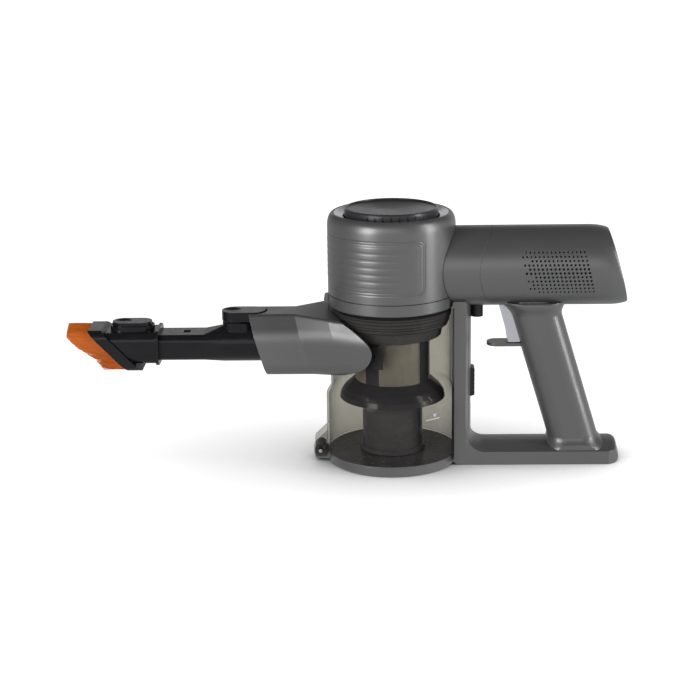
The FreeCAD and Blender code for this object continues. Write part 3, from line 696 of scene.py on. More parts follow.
# ---- meshes ------------------------------------------------------------------------------------
class Mesher:
    """Turns lists of points, in millimetres, into finished mesh objects."""

    @staticmethod
    def piece(
        name: str, points: Sequence[Triple], faces: Sequence[Sequence[int]], sharp: float = 32.0
    ) -> bpy.types.Object:
        """Makes an object whose flat faces meet in sharp edges and whose curves are smooth.

        Args:
            name: the piece's name.
            points: corners, in millimetres.
            faces: corner numbers of each face.
            sharp: the angle in degrees above which an edge stays sharp.

        Returns:
            The new object.
        """
        mesh = bpy.data.meshes.new(name)
        mesh.from_pydata([tuple(c * MM for c in p) for p in points], [], [list(f) for f in faces])
        Mesher.tidy(mesh, sharp)
        piece = bpy.data.objects.new(name, mesh)
        bpy.context.scene.collection.objects.link(piece)
        return piece

    @staticmethod
    def tidy(mesh: bpy.types.Mesh, sharp: float) -> None:
        """Merges doubled corners, turns the faces outwards and sets the shading.

        Args:
            mesh: the mesh.
            sharp: the angle in degrees above which an edge stays sharp.
        """
        work = bmesh.new()
        work.from_mesh(mesh)
        bmesh.ops.remove_doubles(work, verts=work.verts, dist=1e-6)
        bmesh.ops.recalc_face_normals(work, faces=work.faces)
        work.to_mesh(mesh)
        work.free()
        mesh.polygons.foreach_set("use_smooth", [True] * len(mesh.polygons))
        mesh.set_sharp_from_angle(angle=math.radians(sharp))

    @staticmethod
    def grid(
        columns: int, rows: int, wrap_columns: bool, wrap_rows: bool, first: int = 0
    ) -> list[list[int]]:
        """Lists the faces of a grid of corners that was filled column by column.

        Args:
            columns: how many columns.
            rows: how many corners in each.
            wrap_columns: True if the last column joins the first.
            wrap_rows: True if the last row joins the first.
            first: the number of the first corner.

        Returns:
            The faces.
        """
        faces = []
        for i in range(columns if wrap_columns else columns - 1):
            here, there = first + i * rows, first + ((i + 1) % columns) * rows
            for j in range(rows if wrap_rows else rows - 1):
                k = (j + 1) % rows
                faces.append([here + j, there + j, there + k, here + k])
        return faces

    @staticmethod
    def bar(points: list[Triple], faces: list[list[int]], *loops: Sequence[Triple]) -> None:
        """Adds a bar that runs through loops of corners and is closed at both ends.

        Args:
            points: the corners so far, which the bar's are added to.
            faces: the faces so far, which the bar's are added to.
            loops: the loops, all with as many corners.
        """
        first, sides = len(points), len(loops[0])
        for loop in loops:
            points.extend(loop)
        last = len(points) - sides
        faces += Mesher.grid(len(loops), sides, False, True, first)
        faces += [list(range(first, first + sides)), list(range(last, last + sides))]

    @staticmethod
    def pad(
        name: str,
        spot: Callable[[float, float, float], Triple],
        u: Sequence[float],
        v: Sequence[float],
        thick: float,
    ) -> bpy.types.Object:
        """Makes a thin closed pad that follows a surface.

        Args:
            name: the piece's name.
            spot: gives the point at (u, v, height above the surface), in millimetres.
            u: steps one way.
            v: steps the other way.
            thick: how far it stands out.

        Returns:
            The new object.
        """
        points: list[Triple] = []
        for lift in (0.0, thick):
            points += [spot(a, b, lift) for a in u for b in v]
        n, m = len(u), len(v)
        faces = Mesher.grid(n, m, False, False) + Mesher.grid(n, m, False, False, n * m)
        rim = [i * m for i in range(n)] + [(n - 1) * m + j for j in range(1, m)]
        rim += [i * m + m - 1 for i in range(n - 2, -1, -1)] + list(range(m - 2, 0, -1))
        for a, b in zip(rim, rim[1:] + rim[:1]):
            faces.append([a, b, b + n * m, a + n * m])
        return Mesher.piece(name, points, faces)

    @staticmethod
    def copy_of(node: str, name: str) -> bpy.types.Object:
        """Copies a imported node's mesh into a new piece, with its doubled corners merged.

        Args:
            node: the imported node.
            name: the new piece's name.

        Returns:
            The new object.
        """
        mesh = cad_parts[node].data.copy()
        mesh.name = name
        mesh.materials.clear()
        piece = bpy.data.objects.new(name, mesh)
        bpy.context.scene.collection.objects.link(piece)
        Mesher.tidy(mesh, 180.0)
        return piece

    @staticmethod
    def cut(piece: bpy.types.Object, cutter: bpy.types.Object, sharp: float = 32.0) -> None:
        """Cuts one piece by another and throws the cutter away.

        Args:
            piece: what is cut.
            cutter: what cuts it.
            sharp: the angle in degrees above which an edge stays sharp.
        """
        step = piece.modifiers.new("cut", "BOOLEAN")
        step.operation = "DIFFERENCE"
        step.solver = Solver.QUICK.value
        step.object = cutter
        bpy.context.view_layer.update()
        evaluated = piece.evaluated_get(bpy.context.evaluated_depsgraph_get())
        result = bpy.data.meshes.new_from_object(evaluated)
        piece.modifiers.clear()
        old = piece.data
        piece.data = result
        bpy.data.meshes.remove(old)
        spare = cutter.data
        bpy.data.objects.remove(cutter)
        bpy.data.meshes.remove(spare)
        Mesher.tidy(result, sharp)


# ---- sub-assemblies ----------------------------------------------------------------------------
class SubAssembly:
    """A group of pieces that is built and finished together."""

    body: str = "motor_unit"

    def build(self) -> None:
        """Builds and dresses the group."""
        raise NotImplementedError

    def dress(self, finish: Finish, slot: str, *nodes: str) -> None:
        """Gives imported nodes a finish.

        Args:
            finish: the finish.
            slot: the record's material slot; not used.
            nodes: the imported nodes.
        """
        for name in nodes:
            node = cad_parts[name]
            node.data.materials.clear()
            node.data.materials.append(made(finish))
            log.info("%s wears %s", name, finish.name)

    def fit(
        self,
        piece: bpy.types.Object,
        finish: Finish,
        slot: str,
        *nodes: str,
        body: str | None = None,
    ) -> None:
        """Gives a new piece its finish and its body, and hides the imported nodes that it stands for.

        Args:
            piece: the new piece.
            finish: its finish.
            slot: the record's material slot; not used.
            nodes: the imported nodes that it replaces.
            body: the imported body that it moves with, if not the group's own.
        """
        piece.data.materials.clear()
        piece.data.materials.append(made(finish))
        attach(piece, body or self.body)
        if nodes:
            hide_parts(*nodes)
        log.info("%s has %d faces and wears %s", piece.name, len(piece.data.polygons), finish.name)


@dataclass
class MotorHead(SubAssembly):
    """The motor head: casing with its wrap-round grip panel, cap ring, filter cap and filters."""

    radius: float = 57.0
    wall: float = 2.4
    foot_z: float = 156.6
    foot_bevel: float = 0.5
    plain_low: float = 160.0
    plain_high: float = 215.0
    shoulder_z: float = 218.0
    shoulder_rise: float = 11.0
    shoulder_run: float = 5.6
    shoulder_steps: int = 12
    recess: tuple[Pair, ...] = ((51.0, 226.8), (42.4, 223.6), (42.4, 221.2), (52.0, 221.2))
    carve_margin: float = 1.5
    carve_step: float = 0.42
    coarse_turn: float = 2.0
    fine_turn: float = 0.35
    fine_from: float = 109.0
    fine_to: float = 123.0
    panel_low: float = 164.8
    panel_high: float = 212.2
    panel_end: float = 120.6
    panel_corner: float = 6.0
    panel_sink: float = 0.36
    frame_wide: float = 0.9
    inner_inset: float = 2.4
    inner_sink: float = 0.22
    inner_wide: float = 1.0
    rib_end: float = 114.2
    rib_top_z: float = 205.1
    rib_pitch: float = 6.24
    rib_count: int = 6
    rib_half: float = 2.1
    rib_rise: float = 0.13
    hole_radius: float = 24.0
    hole_z: float = 179.4
    hole_from: float = 30.0
    hole_to: float = 80.0
    hole_sides: int = 48
    vents: int = 7
    vent_step: float = 10.0
    vent_half: float = 0.9
    vent_deep: float = 38.4
    vent_front: float = 41.54
    vent_low: float = 228.2
    vent_high: float = 231.0

    def build(self) -> None:
        """Builds the casing and dresses the rest."""
        self.fit(self.casing(), GUNMETAL, "casing_grey", "head_casing")
        self.dress(TRIM_PAINT, "casing_grey", "head_trim")
        self.dress(RING_SILVER, "ring_silver", "cap_ring")
        self.dress(CAP_GREY, "cap_grey", "filter_cap")
        # dark blocks behind the cap's vents: painted shade in the vent slots
        self.fit(self.vent_shade_blocks(), SOCKET_BLACK, "black_plastic", body="cap_unit")
        self.dress(CYCLONE_DARK, "dark_plastic", "head_floor", "filter_end_rings")
        self.dress(FOAM, "filter_foam", "foam_filter")
        self.dress(PAPER, "filter_paper", "pleated_filter")

    def vent_shade_blocks(self) -> bpy.types.Object:
        """Builds dark blocks that sit behind the cap's row of vents as painted shade, so that the slots
        look dark.

        Returns:
            One piece with every block of painted shade.
        """
        points: list[Triple] = []
        faces: list[list[int]] = []
        half, low, high = self.vent_half, self.vent_low, self.vent_high
        corners = ((-half, low), (half, low), (half, high), (-half, high))
        for k in range(-(self.vents // 2), self.vents // 2 + 1):
            turn = math.radians(self.vent_step * k)
            c, s = math.cos(turn), math.sin(turn)
            ends = [
                [(x * c - y * s, x * s + y * c, z) for x, z in corners]
                for y in (-self.vent_deep, -self.vent_front)
            ]
            Mesher.bar(points, faces, *ends)
        return Mesher.piece("vent_shade_blocks", points, faces)

    @staticmethod
    def groove(away: float, deep: float, wide: float) -> float:
        """Gives the relief of a round-bottomed groove.

        Args:
            away: how far the place is from its middle line.
            deep: how deep it is there.
            wide: how wide it is.

        Returns:
            Millimetres, 0 or less.
        """
        return -deep * max(0.0, 1.0 - (away / (wide / 2.0)) ** 2)

    def relief(self, angle: float, z: float) -> float:
        """Gives how far the casing's side stands out from its plain cylinder.

        Args:
            angle: degrees from the front, either way round.
            z: height.

        Returns:
            Millimetres, negative for a sunk place.
        """
        along = abs(angle) * math.pi / 180.0 * self.radius
        half_along = self.panel_end * math.pi / 180.0 * self.radius
        half_up = (self.panel_high - self.panel_low) / 2.0
        up = abs(z - (self.panel_high + self.panel_low) / 2.0)
        inner_u = along - (half_along - self.panel_corner)
        inner_v = up - (half_up - self.panel_corner)
        outside = math.hypot(max(inner_u, 0.0), max(inner_v, 0.0)) + min(max(inner_u, inner_v), 0.0)
        border = outside - self.panel_corner
        sunk = self.groove(border, self.panel_sink, self.frame_wide)
        sunk += self.groove(border + self.inner_inset, self.inner_sink, self.inner_wide)
        rise = 0.0
        rib_u = max(along - (self.rib_end * math.pi / 180.0 * self.radius - self.rib_half), 0.0)
        for k in range(self.rib_count):
            rib_v = z - (self.rib_top_z - k * self.rib_pitch)
            away = math.hypot(rib_u, rib_v)
            if away < self.rib_half:
                t = 1.0 - (away / self.rib_half) ** 6
                rise = max(rise, self.rib_rise * math.sqrt(t))
        return sunk + rise

    def casing(self) -> bpy.types.Object:
        """Builds the casing by turning its profile and adding the relief of the grip panel.

        Returns:
            The casing.
        """
        side = [self.foot_z, self.foot_z + self.foot_bevel, self.plain_low]
        z = self.panel_low - self.carve_margin
        while z < self.panel_high + self.carve_margin:
            side.append(z)
            z += self.carve_step
        side += [self.plain_high, self.shoulder_z]
        profile = [(self.radius, h, True) for h in side]
        profile[0] = (self.radius - self.foot_bevel, self.foot_z, True)
        for step in range(1, self.shoulder_steps + 1):
            turn = math.radians(90.0 * step / self.shoulder_steps)
            r = self.radius - self.shoulder_run + self.shoulder_run * math.cos(turn)
            profile.append((r, self.shoulder_z + self.shoulder_rise * math.sin(turn), False))
        bore = self.radius - self.wall
        inner = (*self.recess, (bore, self.plain_high), (bore, self.foot_z))
        profile += [(r, h, False) for r, h in inner]
        angles: list[float] = []
        angle = -180.0
        while angle < 180.0 - 1e-6:
            angles.append(angle)
            fine = self.fine_from < abs(angle) < self.fine_to
            angle += self.fine_turn if fine else self.coarse_turn
        points: list[Triple] = []
        for a in angles:
            c, s = -math.cos(math.radians(a)), -math.sin(math.radians(a))
            for r, h, carved in profile:
                r += self.relief(a, h) if carved else 0.0
                points.append((r * c, r * s, h))
        faces = Mesher.grid(len(angles), len(profile), True, True)
        casing = Mesher.piece("head_casing_carved", points, faces, 40.0)
        Mesher.cut(casing, self.port_cutter(), sharp=40.0)
        return casing

    def port_cutter(self) -> bpy.types.Object:
        """Builds the round bar that opens the casing where the drum joins it.

        Returns:
            The cutter.
        """
        points: list[Triple] = []
        faces: list[list[int]] = []
        turns = [math.radians(360.0 / self.hole_sides * i) for i in range(self.hole_sides)]
        ring = [
            (self.hole_radius * math.cos(t), self.hole_z + self.hole_radius * math.sin(t)) for t in turns
        ]
        ends = [[(x, y, z) for y, z in ring] for x in (self.hole_from, self.hole_to)]
        Mesher.bar(points, faces, *ends)
        return Mesher.piece("port_cutter", points, faces)


@dataclass
class DrumAndGrip(SubAssembly):
    """The battery handle: two moulded shells, the drum with its exhaust holes, trigger and slider."""

    drum_radius: float = 35.7
    drum_z: float = 179.4
    end_x: float = 200.6
    end_tilt: float = 15.0
    end_curve: float = 17.0
    rows: int = 11
    top_row: float = 197.2
    row_pitch: float = 3.57
    right_end: float = 168.1
    end_step: float = 0.86
    hole_pitch: float = 3.64
    counts: tuple[int, ...] = (15, 16, 14, 16)
    small: float = 0.85
    large: float = 1.15
    drill_from: float = 22.0
    drill_to: float = 40.0
    drill_sides: int = 14
    wall_facing: float = 0.9

    def build(self) -> None:
        """Drills the drum and dresses the rest."""
        drum = Mesher.copy_of("drum_shell", "drum_shell_drilled")
        Mesher.cut(drum, self.drills())
        self.even_out(drum)
        self.fit(drum, GUNMETAL, "casing_grey", "drum_shell")
        self.dress(GUNMETAL, "casing_grey", "handle_shell_left", "handle_shell_right")
        self.dress(GUNMETAL, "casing_grey", "finger_guard", "rear_cap")
        self.dress(TRIGGER_SILVER, "trigger_silver", "trigger")
        self.dress(STEEL, "screw_steel", "handle_screws", "trigger_pin")
        self.dress(STEEL, "screw_steel", "trigger_spring", "slider_spring")
        self.dress(SOCKET_BLACK, "black_plastic", "trigger_switch", "release_slider")
        self.dress(SOCKET_BLACK, "black_plastic", "release_rod", "charging_socket")
        self.dress(FOAM, "filter_foam", "exhaust_foam")

    def even_out(self, drum: bpy.types.Object) -> None:
        """Gives the drilled wall the shading of a true cylinder, so that the holes leave no streaks.

        Args:
            drum: the drilled drum.
        """
        mesh = drum.data
        normals: list[Triple] = [(0.0, 0.0, 0.0)] * len(mesh.loops)
        lean = math.tan(math.radians(self.end_tilt))
        for face in mesh.polygons:
            for loop in face.loop_indices:
                x, y, z = mesh.vertices[mesh.loops[loop].vertex_index].co / MM
                out = Vector((0.0, y, z - self.drum_z)).normalized()
                facing = out.dot(face.normal)
                plain = x + lean * (z - self.drum_z) < self.end_x - self.end_curve
                if plain and abs(facing) > self.wall_facing:
                    normals[loop] = tuple(out if facing > 0 else -out)
        mesh.normals_split_custom_set(normals)

    def drills(self) -> bpy.types.Object:
        """Builds one cutter of all exhaust holes, on both sides of the drum.

        Returns:
            The cutter.
        """
        points: list[Triple] = []
        faces: list[list[int]] = []
        turns = [2.0 * math.pi * i / self.drill_sides for i in range(self.drill_sides)]
        for row in range(self.rows):
            z = self.top_row - row * self.row_pitch
            middle = 1.0 - abs(row - (self.rows - 1) / 2.0) / ((self.rows - 1) / 2.0)
            r = self.small + (self.large - self.small) * middle
            for k in range(self.counts[row % len(self.counts)]):
                x = self.right_end + row * self.end_step - k * self.hole_pitch
                ring = [(x + r * math.cos(t), z + r * math.sin(t)) for t in turns]
                for near in (-1.0, 1.0):
                    depths = (self.drill_from * near, self.drill_to * near)
                    Mesher.bar(points, faces, *[[(u, y, v) for u, v in ring] for y in depths])
        return Mesher.piece("drill_cutter", points, faces)


@dataclass
class MotorAndCells(SubAssembly):
    """What the shells hide: the motor with its impeller, the cells and the control board."""

    def build(self) -> None:
        """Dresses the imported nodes."""
        self.dress(MOTOR_STEEL, "motor_steel", "motor_can", "motor_stator")
        self.dress(MOTOR_STEEL, "motor_steel", "motor_bearings", "motor_rotor")
        self.dress(SOCKET_BLACK, "black_plastic", "front_bridge", "rear_bridge")
        self.dress(RUBBER, "black_rubber", "motor_seal")
        self.dress(IMPELLER_GREY, "impeller_grey", "impeller")
        self.dress(CELL_WRAP, "cell_wrap", "battery_cells")
        self.dress(NICKEL, "strap_nickel", "cell_straps")
        self.dress(BOARD, "board_green", "control_board")


@dataclass
class DustCup(SubAssembly):
    """The clear cup with its bottom flap, seals, release button and fill line."""

    body: str = "cup_unit"
    radius: float = 60.0
    line_z: float = 51.0
    line_from: float = -60.9
    line_to: float = -46.2
    line_tall: float = 0.9
    line_steps: int = 12
    arrow_angle: float = -51.5
    arrow_half: float = 1.9
    arrow_point: float = 0.08
    arrow_gap: float = 1.6
    arrow_tall: float = 2.8
    ink_gap: float = 0.02
    ink_thick: float = 0.05

    def build(self) -> None:
        """Dresses the cup and prints its fill line."""
        self.dress(CLEAR, "cup_clear", "cup_shell")
        self.dress(RUBBER, "black_rubber", "cup_seal")
        self.dress(CYCLONE_GREY, "black_rubber", "flap_seal")
        self.dress(STEEL, "screw_steel", "hinge_pin")
        self.dress(GUNMETAL, "casing_grey", "bottom_flap", "cup_button")
        width = self.line_to - self.line_from
        along = [self.line_from + width * i / self.line_steps for i in range(self.line_steps + 1)]
        edges = [self.line_z - self.line_tall / 2, self.line_z + self.line_tall / 2]
        line = Mesher.pad("fill_line", self.spot, along, edges, self.ink_thick)
        self.fit(line, INK, "ring_silver")
        up, across = [0.0, 0.5, 1.0], [-1.0, 0.0, 1.0]
        arrow = Mesher.pad("fill_arrow", self.arrow_spot, up, across, self.ink_thick)
        self.fit(arrow, INK, "ring_silver")

    def spot(self, angle: float, z: float, lift: float) -> Triple:
        """Gives a point just outside the cup's wall.

        Args:
            angle: degrees from +X.
            z: height.
            lift: how far out.

        Returns:
            The point.
        """
        r = self.radius + self.ink_gap + lift
        return (r * math.cos(math.radians(angle)), r * math.sin(math.radians(angle)), z)

    def arrow_spot(self, up: float, side: float, lift: float) -> Triple:
        """Gives a point of the small triangle over the fill line.

        Args:
            up: 0 at its point and 1 at its flat top.
            side: from -1 to 1 across.
            lift: how far out.

        Returns:
            The point.
        """
        half = self.arrow_half * (self.arrow_point + (1.0 - self.arrow_point) * up)
        height = self.line_z + self.arrow_gap + self.arrow_tall * up
        return self.spot(self.arrow_angle + half * side, height, lift)


@dataclass
class Cyclone(SubAssembly):
    """What hangs in the cup: collar, punched screen, skirt, fines cup and the inner cone."""

    body: str = "cup_unit"
    bands: tuple[Pair, ...] = (
        (53.22, 140.2),
        (53.22, 137.4),
        (51.82, 133.9),
        (51.82, 131.9),
        (50.22, 128.6),
    )
    band_tall: float = 0.55
    band_sunk: float = 0.2
    band_proud: float = 0.08
    band_steps: int = 120

    def build(self) -> None:
        """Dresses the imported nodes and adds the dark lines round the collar."""
        self.fit(self.collar_bands(), SOCKET_BLACK, "black_plastic")
        self.dress(CYCLONE_GREY, "dark_plastic", "shroud_collar", "fines_cup")
        self.dress(CYCLONE_DARK, "dark_plastic", "shroud_ribs", "skirt")
        self.dress(CYCLONE_DARK, "dark_plastic", "vortex_cone", "vortex_finder", "inlet_guide")
        self.dress(SCREEN, "mesh_metal", "mesh_screen")

    def collar_bands(self) -> bpy.types.Object:
        """Builds the thin dark bands that divide the collar.

        Returns:
            One piece with every band.
        """
        points: list[Triple] = []
        faces: list[list[int]] = []
        turns = [2 * math.pi * i / self.band_steps for i in range(self.band_steps)]
        for radius, low in self.bands:
            first = len(points)
            inside, outside, high = radius - self.band_sunk, radius + self.band_proud, low + self.band_tall
            section = ((inside, low), (outside, low), (outside, high), (inside, high))
            points += [(r * math.cos(t), r * math.sin(t), h) for t in turns for r, h in section]
            faces += Mesher.grid(len(turns), len(section), True, True, first)
        return Mesher.piece("collar_bands", points, faces, 40.0)


@dataclass
class InletNeck(SubAssembly):
    """The air inlet that joins the tool to the cup."""

    body: str = "cup_unit"

    def build(self) -> None:
        """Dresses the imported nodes."""
        self.dress(GUNMETAL, "casing_grey", "inlet_duct")
        self.dress(SOCKET_BLACK, "black_plastic", "duct_socket")


@dataclass
class CreviceTool(SubAssembly):
    """The flat crevice tube with its sprung latch."""

    body: str = "tool"

    def build(self) -> None:
        """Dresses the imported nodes."""
        self.dress(TOOL_BLACK, "black_plastic", "crevice_tube", "tool_latch")
        self.dress(STEEL, "screw_steel", "latch_pin")


@dataclass
class SlidingBrush(SubAssembly):
    """The brush that slides over the tube: sleeve, slanted frame, lock button and bristle tufts."""

    body: str = "brush"
    root_x: float = -255.8
    root_z: float = 108.0
    slant: float = 0.95
    tufts: int = 48
    strands: int = 60
    seed: int = 11
    ring_half: float = 20.5
    ring_low: float = 90.6
    ring_high: float = 122.9
    ring_corner: float = 5.0
    tuft_radius: float = 1.35
    tuft_lean: float = 0.5
    root_half: float = 22.0
    root_low: float = 89.0
    tip_half: float = 22.1
    tip_low: float = 88.7
    top: float = 124.7
    gather: float = 0.985
    scatter_y: float = 0.7
    scatter_z: float = 0.5
    bow: float = 0.25
    full_share: float = 0.9
    full_reach: Pair = (0.975, 1.0)
    short_reach: Pair = (0.92, 0.98)
    strand_shape: tuple[Pair, ...] = ((0.0, 0.17), (0.4, 0.16), (0.8, 0.13), (1.0, 0.07))
    strand_sides: int = 3
    tip_curve: tuple[Triple, ...] = (
        (89.0, -260.5, 89.0),
        (92.0, -262.5, 94.4),
        (96.0, -266.5, 100.6),
        (100.0, -275.0, 105.0),
        (106.0, -285.0, 110.6),
        (113.0, -292.6, 116.0),
        (119.0, -296.2, 120.6),
        (124.6, -298.2, 124.4),
    )
    end_x: float = -296.1
    tube_half: float = 19.15
    tube_low: float = 96.3
    tube_high: float = 120.9
    taper: float = 0.12
    taper_low: float = 100.0
    taper_over: float = 16.0

    def build(self) -> None:
        """Builds the tufts and dresses the rest."""
        self.dress(TOOL_BLACK, "black_plastic", "brush_sleeve", "brush_frame", "slide_button")
        self.fit(self.bristles(), ORANGE, "bristle_orange", "bristles")

    def tip(self, z: float) -> Pair:
        """Gives where the bristles that start at a height end.

        Args:
            z: the root's height.

        Returns:
            The tip's x and z.
        """
        curve = self.tip_curve
        z = min(max(z, curve[0][0]), curve[-1][0])
        for low, high in zip(curve, curve[1:]):
            if z <= high[0]:
                t = (z - low[0]) / (high[0] - low[0])
                return (low[1] + t * (high[1] - low[1]), low[2] + t * (high[2] - low[2]))
        return curve[-1][1:]

    def clear_of_tube(self, root_y: float, root_z: float, end: Triple) -> Triple:
        """Moves a strand's tip out of the path of the crevice tube that slides through the brush.

        Args:
            root_y: where the strand starts, across.
            root_z: where it starts, upwards.
            end: its tip.

        Returns:
            The tip, moved sideways, down or up if it was in the way.
        """
        x, y, z = end
        if abs(y) >= self.tube_half or not self.tube_low < z < self.tube_high:
            return end
        if abs(root_y) >= self.tube_half:
            return (x, math.copysign(self.tube_half, root_y), z)
        return (x, y, self.tube_low if root_z < (self.tube_low + self.tube_high) / 2.0 else self.tube_high)

    def outline(self, part: float) -> Pair:
        """Gives a point on the rounded rectangle that the tufts stand on.

        Args:
            part: from 0 to 1 round the outline.

        Returns:
            The point's y and z.
        """
        half_y, low, high, corner = self.ring_half, self.ring_low, self.ring_high, self.ring_corner
        flat_y, flat_z = 2 * (half_y - corner), (high - low) - 2 * corner
        bend = math.pi * corner / 2
        total = 2 * flat_y + 2 * flat_z + 4 * bend
        s = (part % 1.0) * total
        middle = (low + high) / 2
        spots = (
            (flat_y, 0.0, (0.0, high), (1.0, 0.0)),
            (bend, 90.0, (half_y - corner, high - corner), None),
            (flat_z, 0.0, (half_y, middle), (0.0, -1.0)),
            (bend, 0.0, (half_y - corner, low + corner), None),
            (flat_y, 0.0, (0.0, low), (-1.0, 0.0)),
            (bend, -90.0, (-half_y + corner, low + corner), None),
            (flat_z, 0.0, (-half_y, middle), (0.0, 1.0)),
            (bend, 180.0, (-half_y + corner, high - corner), None),
        )
        for length, start, centre, heading in spots:
            if s <= length:
                if heading is not None:
                    along = s - length / 2
                    return (centre[0] + heading[0] * along, centre[1] + heading[1] * along)
                turn = math.radians(start - 90.0 * s / length)
                return (centre[0] + corner * math.cos(turn), centre[1] + corner * math.sin(turn))
            s -= length
        return (0.0, high)

    def strand(self, chance: random.Random, middle: Pair, lean: float) -> list[list[Triple]]:
        """Works out one strand.

        Args:
            chance: where the random draws come from.
            middle: the y and z of the tuft's middle.
            lean: how far the tuft leans sideways.

        Returns:
            The loops of corners along it, from the root to the tip.
        """
        turn, away = chance.uniform(0, 2 * math.pi), self.tuft_radius * math.sqrt(chance.random())
        y = max(-self.root_half, min(self.root_half, middle[0] + away * math.cos(turn)))
        z = max(self.root_low, min(self.top, middle[1] + away * math.sin(turn)))
        x = self.root_x - self.slant * (z - self.root_z)
        tip_x, tip_z = self.tip(z)
        near_top = min(max((tip_z - self.taper_low) / self.taper_over, 0.0), 1.0)
        short = self.taper * (self.root_half - y) * near_top
        span = self.full_reach if chance.random() < self.full_share else self.short_reach
        reach = chance.uniform(*span)
        end_y = y * self.gather + lean + chance.uniform(-self.scatter_y, self.scatter_y)
        end_z = z + (tip_z - z) * reach + chance.uniform(-self.scatter_z, self.scatter_z)
        end = (
            max(self.end_x, x + (tip_x - x) * reach) + short,
            max(-self.tip_half, min(self.tip_half, end_y)),
            max(self.tip_low, min(self.top, end_z)),
        )
        end = self.clear_of_tube(y, z, end)
        bow_y, bow_z = chance.uniform(-self.bow, self.bow), chance.uniform(-self.bow, self.bow)
        turns = [2 * math.pi * i / self.strand_sides for i in range(self.strand_sides)]
        loops: list[list[Triple]] = []
        for t, r in self.strand_shape:
            lift = 4 * t * (1 - t)
            cx = x + (end[0] - x) * t
            cy = y + (end[1] - y) * t + bow_y * lift
            cz = z + (end[2] - z) * t + bow_z * lift
            loops.append([(cx, cy + r * math.cos(a), cz + r * math.sin(a)) for a in turns])
        return loops

    def bristles(self) -> bpy.types.Object:
        """Builds the tufts, strand by strand.

        Returns:
            One piece with every strand.
        """
        chance = random.Random(self.seed)
        points: list[Triple] = []
        faces: list[list[int]] = []
        for tuft in range(self.tufts):
            middle = self.outline(tuft / self.tufts)
            lean = chance.uniform(-self.tuft_lean, self.tuft_lean)
            for _ in range(self.strands):
                Mesher.bar(points, faces, *self.strand(chance, middle, lean))
        return Mesher.piece("bristle_tufts", points, faces, 70.0)


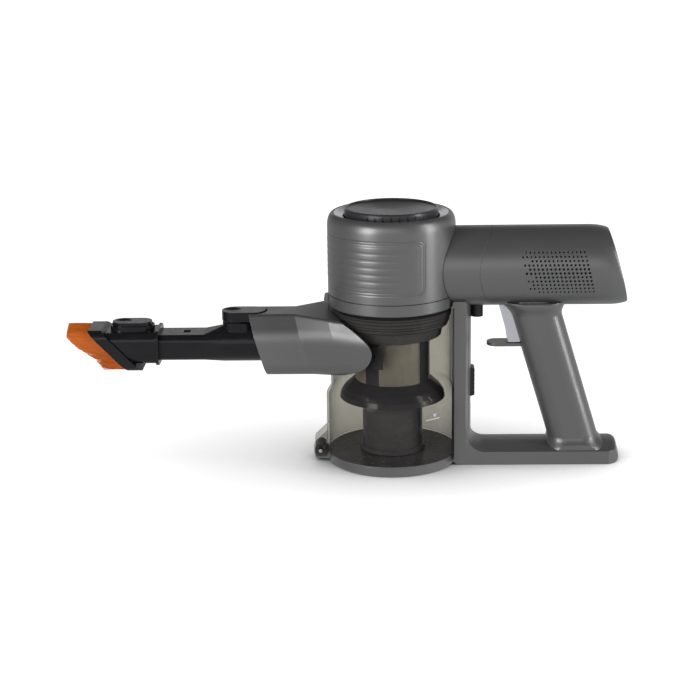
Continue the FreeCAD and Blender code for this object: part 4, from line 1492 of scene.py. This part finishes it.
# ---- studio ------------------------------------------------------------------------------------
@dataclass
class Studio:
    """Camera, lights, pale sweep and world."""

    eye: Triple = (0.0, -1.4798, 0.5205)
    pitch: float = 15.81
    yaw: float = -1.42
    roll: float = -0.4
    lens: float = 87.43
    sensor: float = 36.0
    aim: Triple = (0.0, 0.0, 0.12)
    left_glow: float = 0.30
    right_glow: float = 0.72
    zenith_share: float = 0.22
    floor_share: float = 1.2
    floor_half: float = 40.0
    floor_drop: float = 0.0002

    def build(self) -> None:
        """Builds everything that isn't part of the object."""
        self.camera()
        self.sweep()
        self.world()
        self.softbox("key", (-1.0, -1.1, 0.42), power=13.5, size=(0.55, 0.8))
        self.softbox("fill", (-0.3, -2.3, 0.9), power=9.0, size=(2.4, 1.0))
        self.softbox("side", (1.24, -0.40, 0.45), power=9.0, size=(0.25, 1.1))
        self.softbox("back", (0.2, 1.6, 0.68), power=1.3, size=(1.8, 0.5))
        settings = bpy.context.scene.view_settings
        settings.view_transform = "Standard"
        settings.look = "None"

    def camera(self) -> None:
        """Sets up the camera from its place and its three angles."""
        p, w, r = (math.radians(a) for a in (self.pitch, self.yaw, self.roll))
        ahead = Vector((0, math.cos(p), -math.sin(p)))
        right = Vector((1, 0, 0))
        up = Vector((0, math.sin(p), math.cos(p)))
        right_turned = math.cos(w) * right - math.sin(w) * ahead
        ahead = math.cos(w) * ahead + math.sin(w) * right
        right_rolled = math.cos(r) * right_turned + math.sin(r) * up
        up_rolled = -math.sin(r) * right_turned + math.cos(r) * up
        place = Matrix((right_rolled, up_rolled, -ahead)).transposed().to_4x4()
        place.translation = Vector(self.eye)
        data = bpy.data.cameras.new("studio_camera")
        data.lens, data.sensor_width = self.lens, self.sensor
        camera = bpy.data.objects.new("studio_camera", data)
        camera.matrix_world = place
        bpy.context.scene.collection.objects.link(camera)
        bpy.context.scene.camera = camera

    def sweep(self) -> None:
        """Lays the pale floor."""
        mesh = bpy.data.meshes.new("studio_floor")
        far = self.floor_half
        corners = [(-far, -far, 0), (far, -far, 0), (far, far, 0), (-far, far, 0)]
        mesh.from_pydata(corners, [], [[0, 1, 2, 3]])
        floor = bpy.data.objects.new("studio_floor", mesh)
        floor.location.z = -self.floor_drop
        mesh.materials.append(made(SWEEP))
        floor.visible_diffuse = False
        floor.visible_glossy = False
        bpy.context.scene.collection.objects.link(floor)

    def world(self) -> None:
        """Makes a world that is white to look at and softer as a light."""
        world = bpy.data.worlds.new("studio_world")
        g = Graph(world, "ShaderNodeOutputWorld")
        way = g.add("ShaderNodeTexCoord").outputs["Generated"]
        parts = g.add("ShaderNodeSeparateXYZ", {"Vector": way}).outputs
        across = g.span(parts["X"], -1.0, 1.0, self.left_glow, self.right_glow)
        upward = g.span(parts["Z"], -0.1, 0.35, self.floor_share, self.zenith_share)
        glow = g.maths("MULTIPLY", across, upward)
        lit = g.add("ShaderNodeBackground", {"Color": (0.98, 0.99, 1.0), "Strength": glow})
        seen = g.add("ShaderNodeBackground", {"Color": (1.0, 1.0, 1.0), "Strength": 1.0})
        to_camera = g.add("ShaderNodeLightPath").outputs["Is Camera Ray"]
        g.close(g.blend(to_camera, lit, seen))
        bpy.context.scene.world = world

    def softbox(self, name: str, place: Triple, power: float, size: Pair) -> None:
        """Hangs a soft light that faces the object.

        Args:
            name: its name.
            place: where, in metres.
            power: in watts.
            size: its width and height, in metres.
        """
        data = bpy.data.lights.new(name, "AREA")
        data.shape = "RECTANGLE"
        data.size, data.size_y = size
        data.energy = power
        light = bpy.data.objects.new(name, data)
        light.location = place
        light.rotation_euler = (Vector(self.aim) - Vector(place)).to_track_quat("-Z", "Y").to_euler()
        bpy.context.scene.collection.objects.link(light)


def main() -> None:
    """Builds the groups in order, then the studio."""
    logging.basicConfig(level=logging.INFO, format="%(name)s: %(message)s")
    groups = (
        MotorHead(),
        DrumAndGrip(),
        MotorAndCells(),
        DustCup(),
        Cyclone(),
        InletNeck(),
        CreviceTool(),
        SlidingBrush(),
        Studio(),
    )
    for group in groups:
        group.build()
        log.info("%s is done", type(group).__name__)


if __name__ == "__main__":
    main()
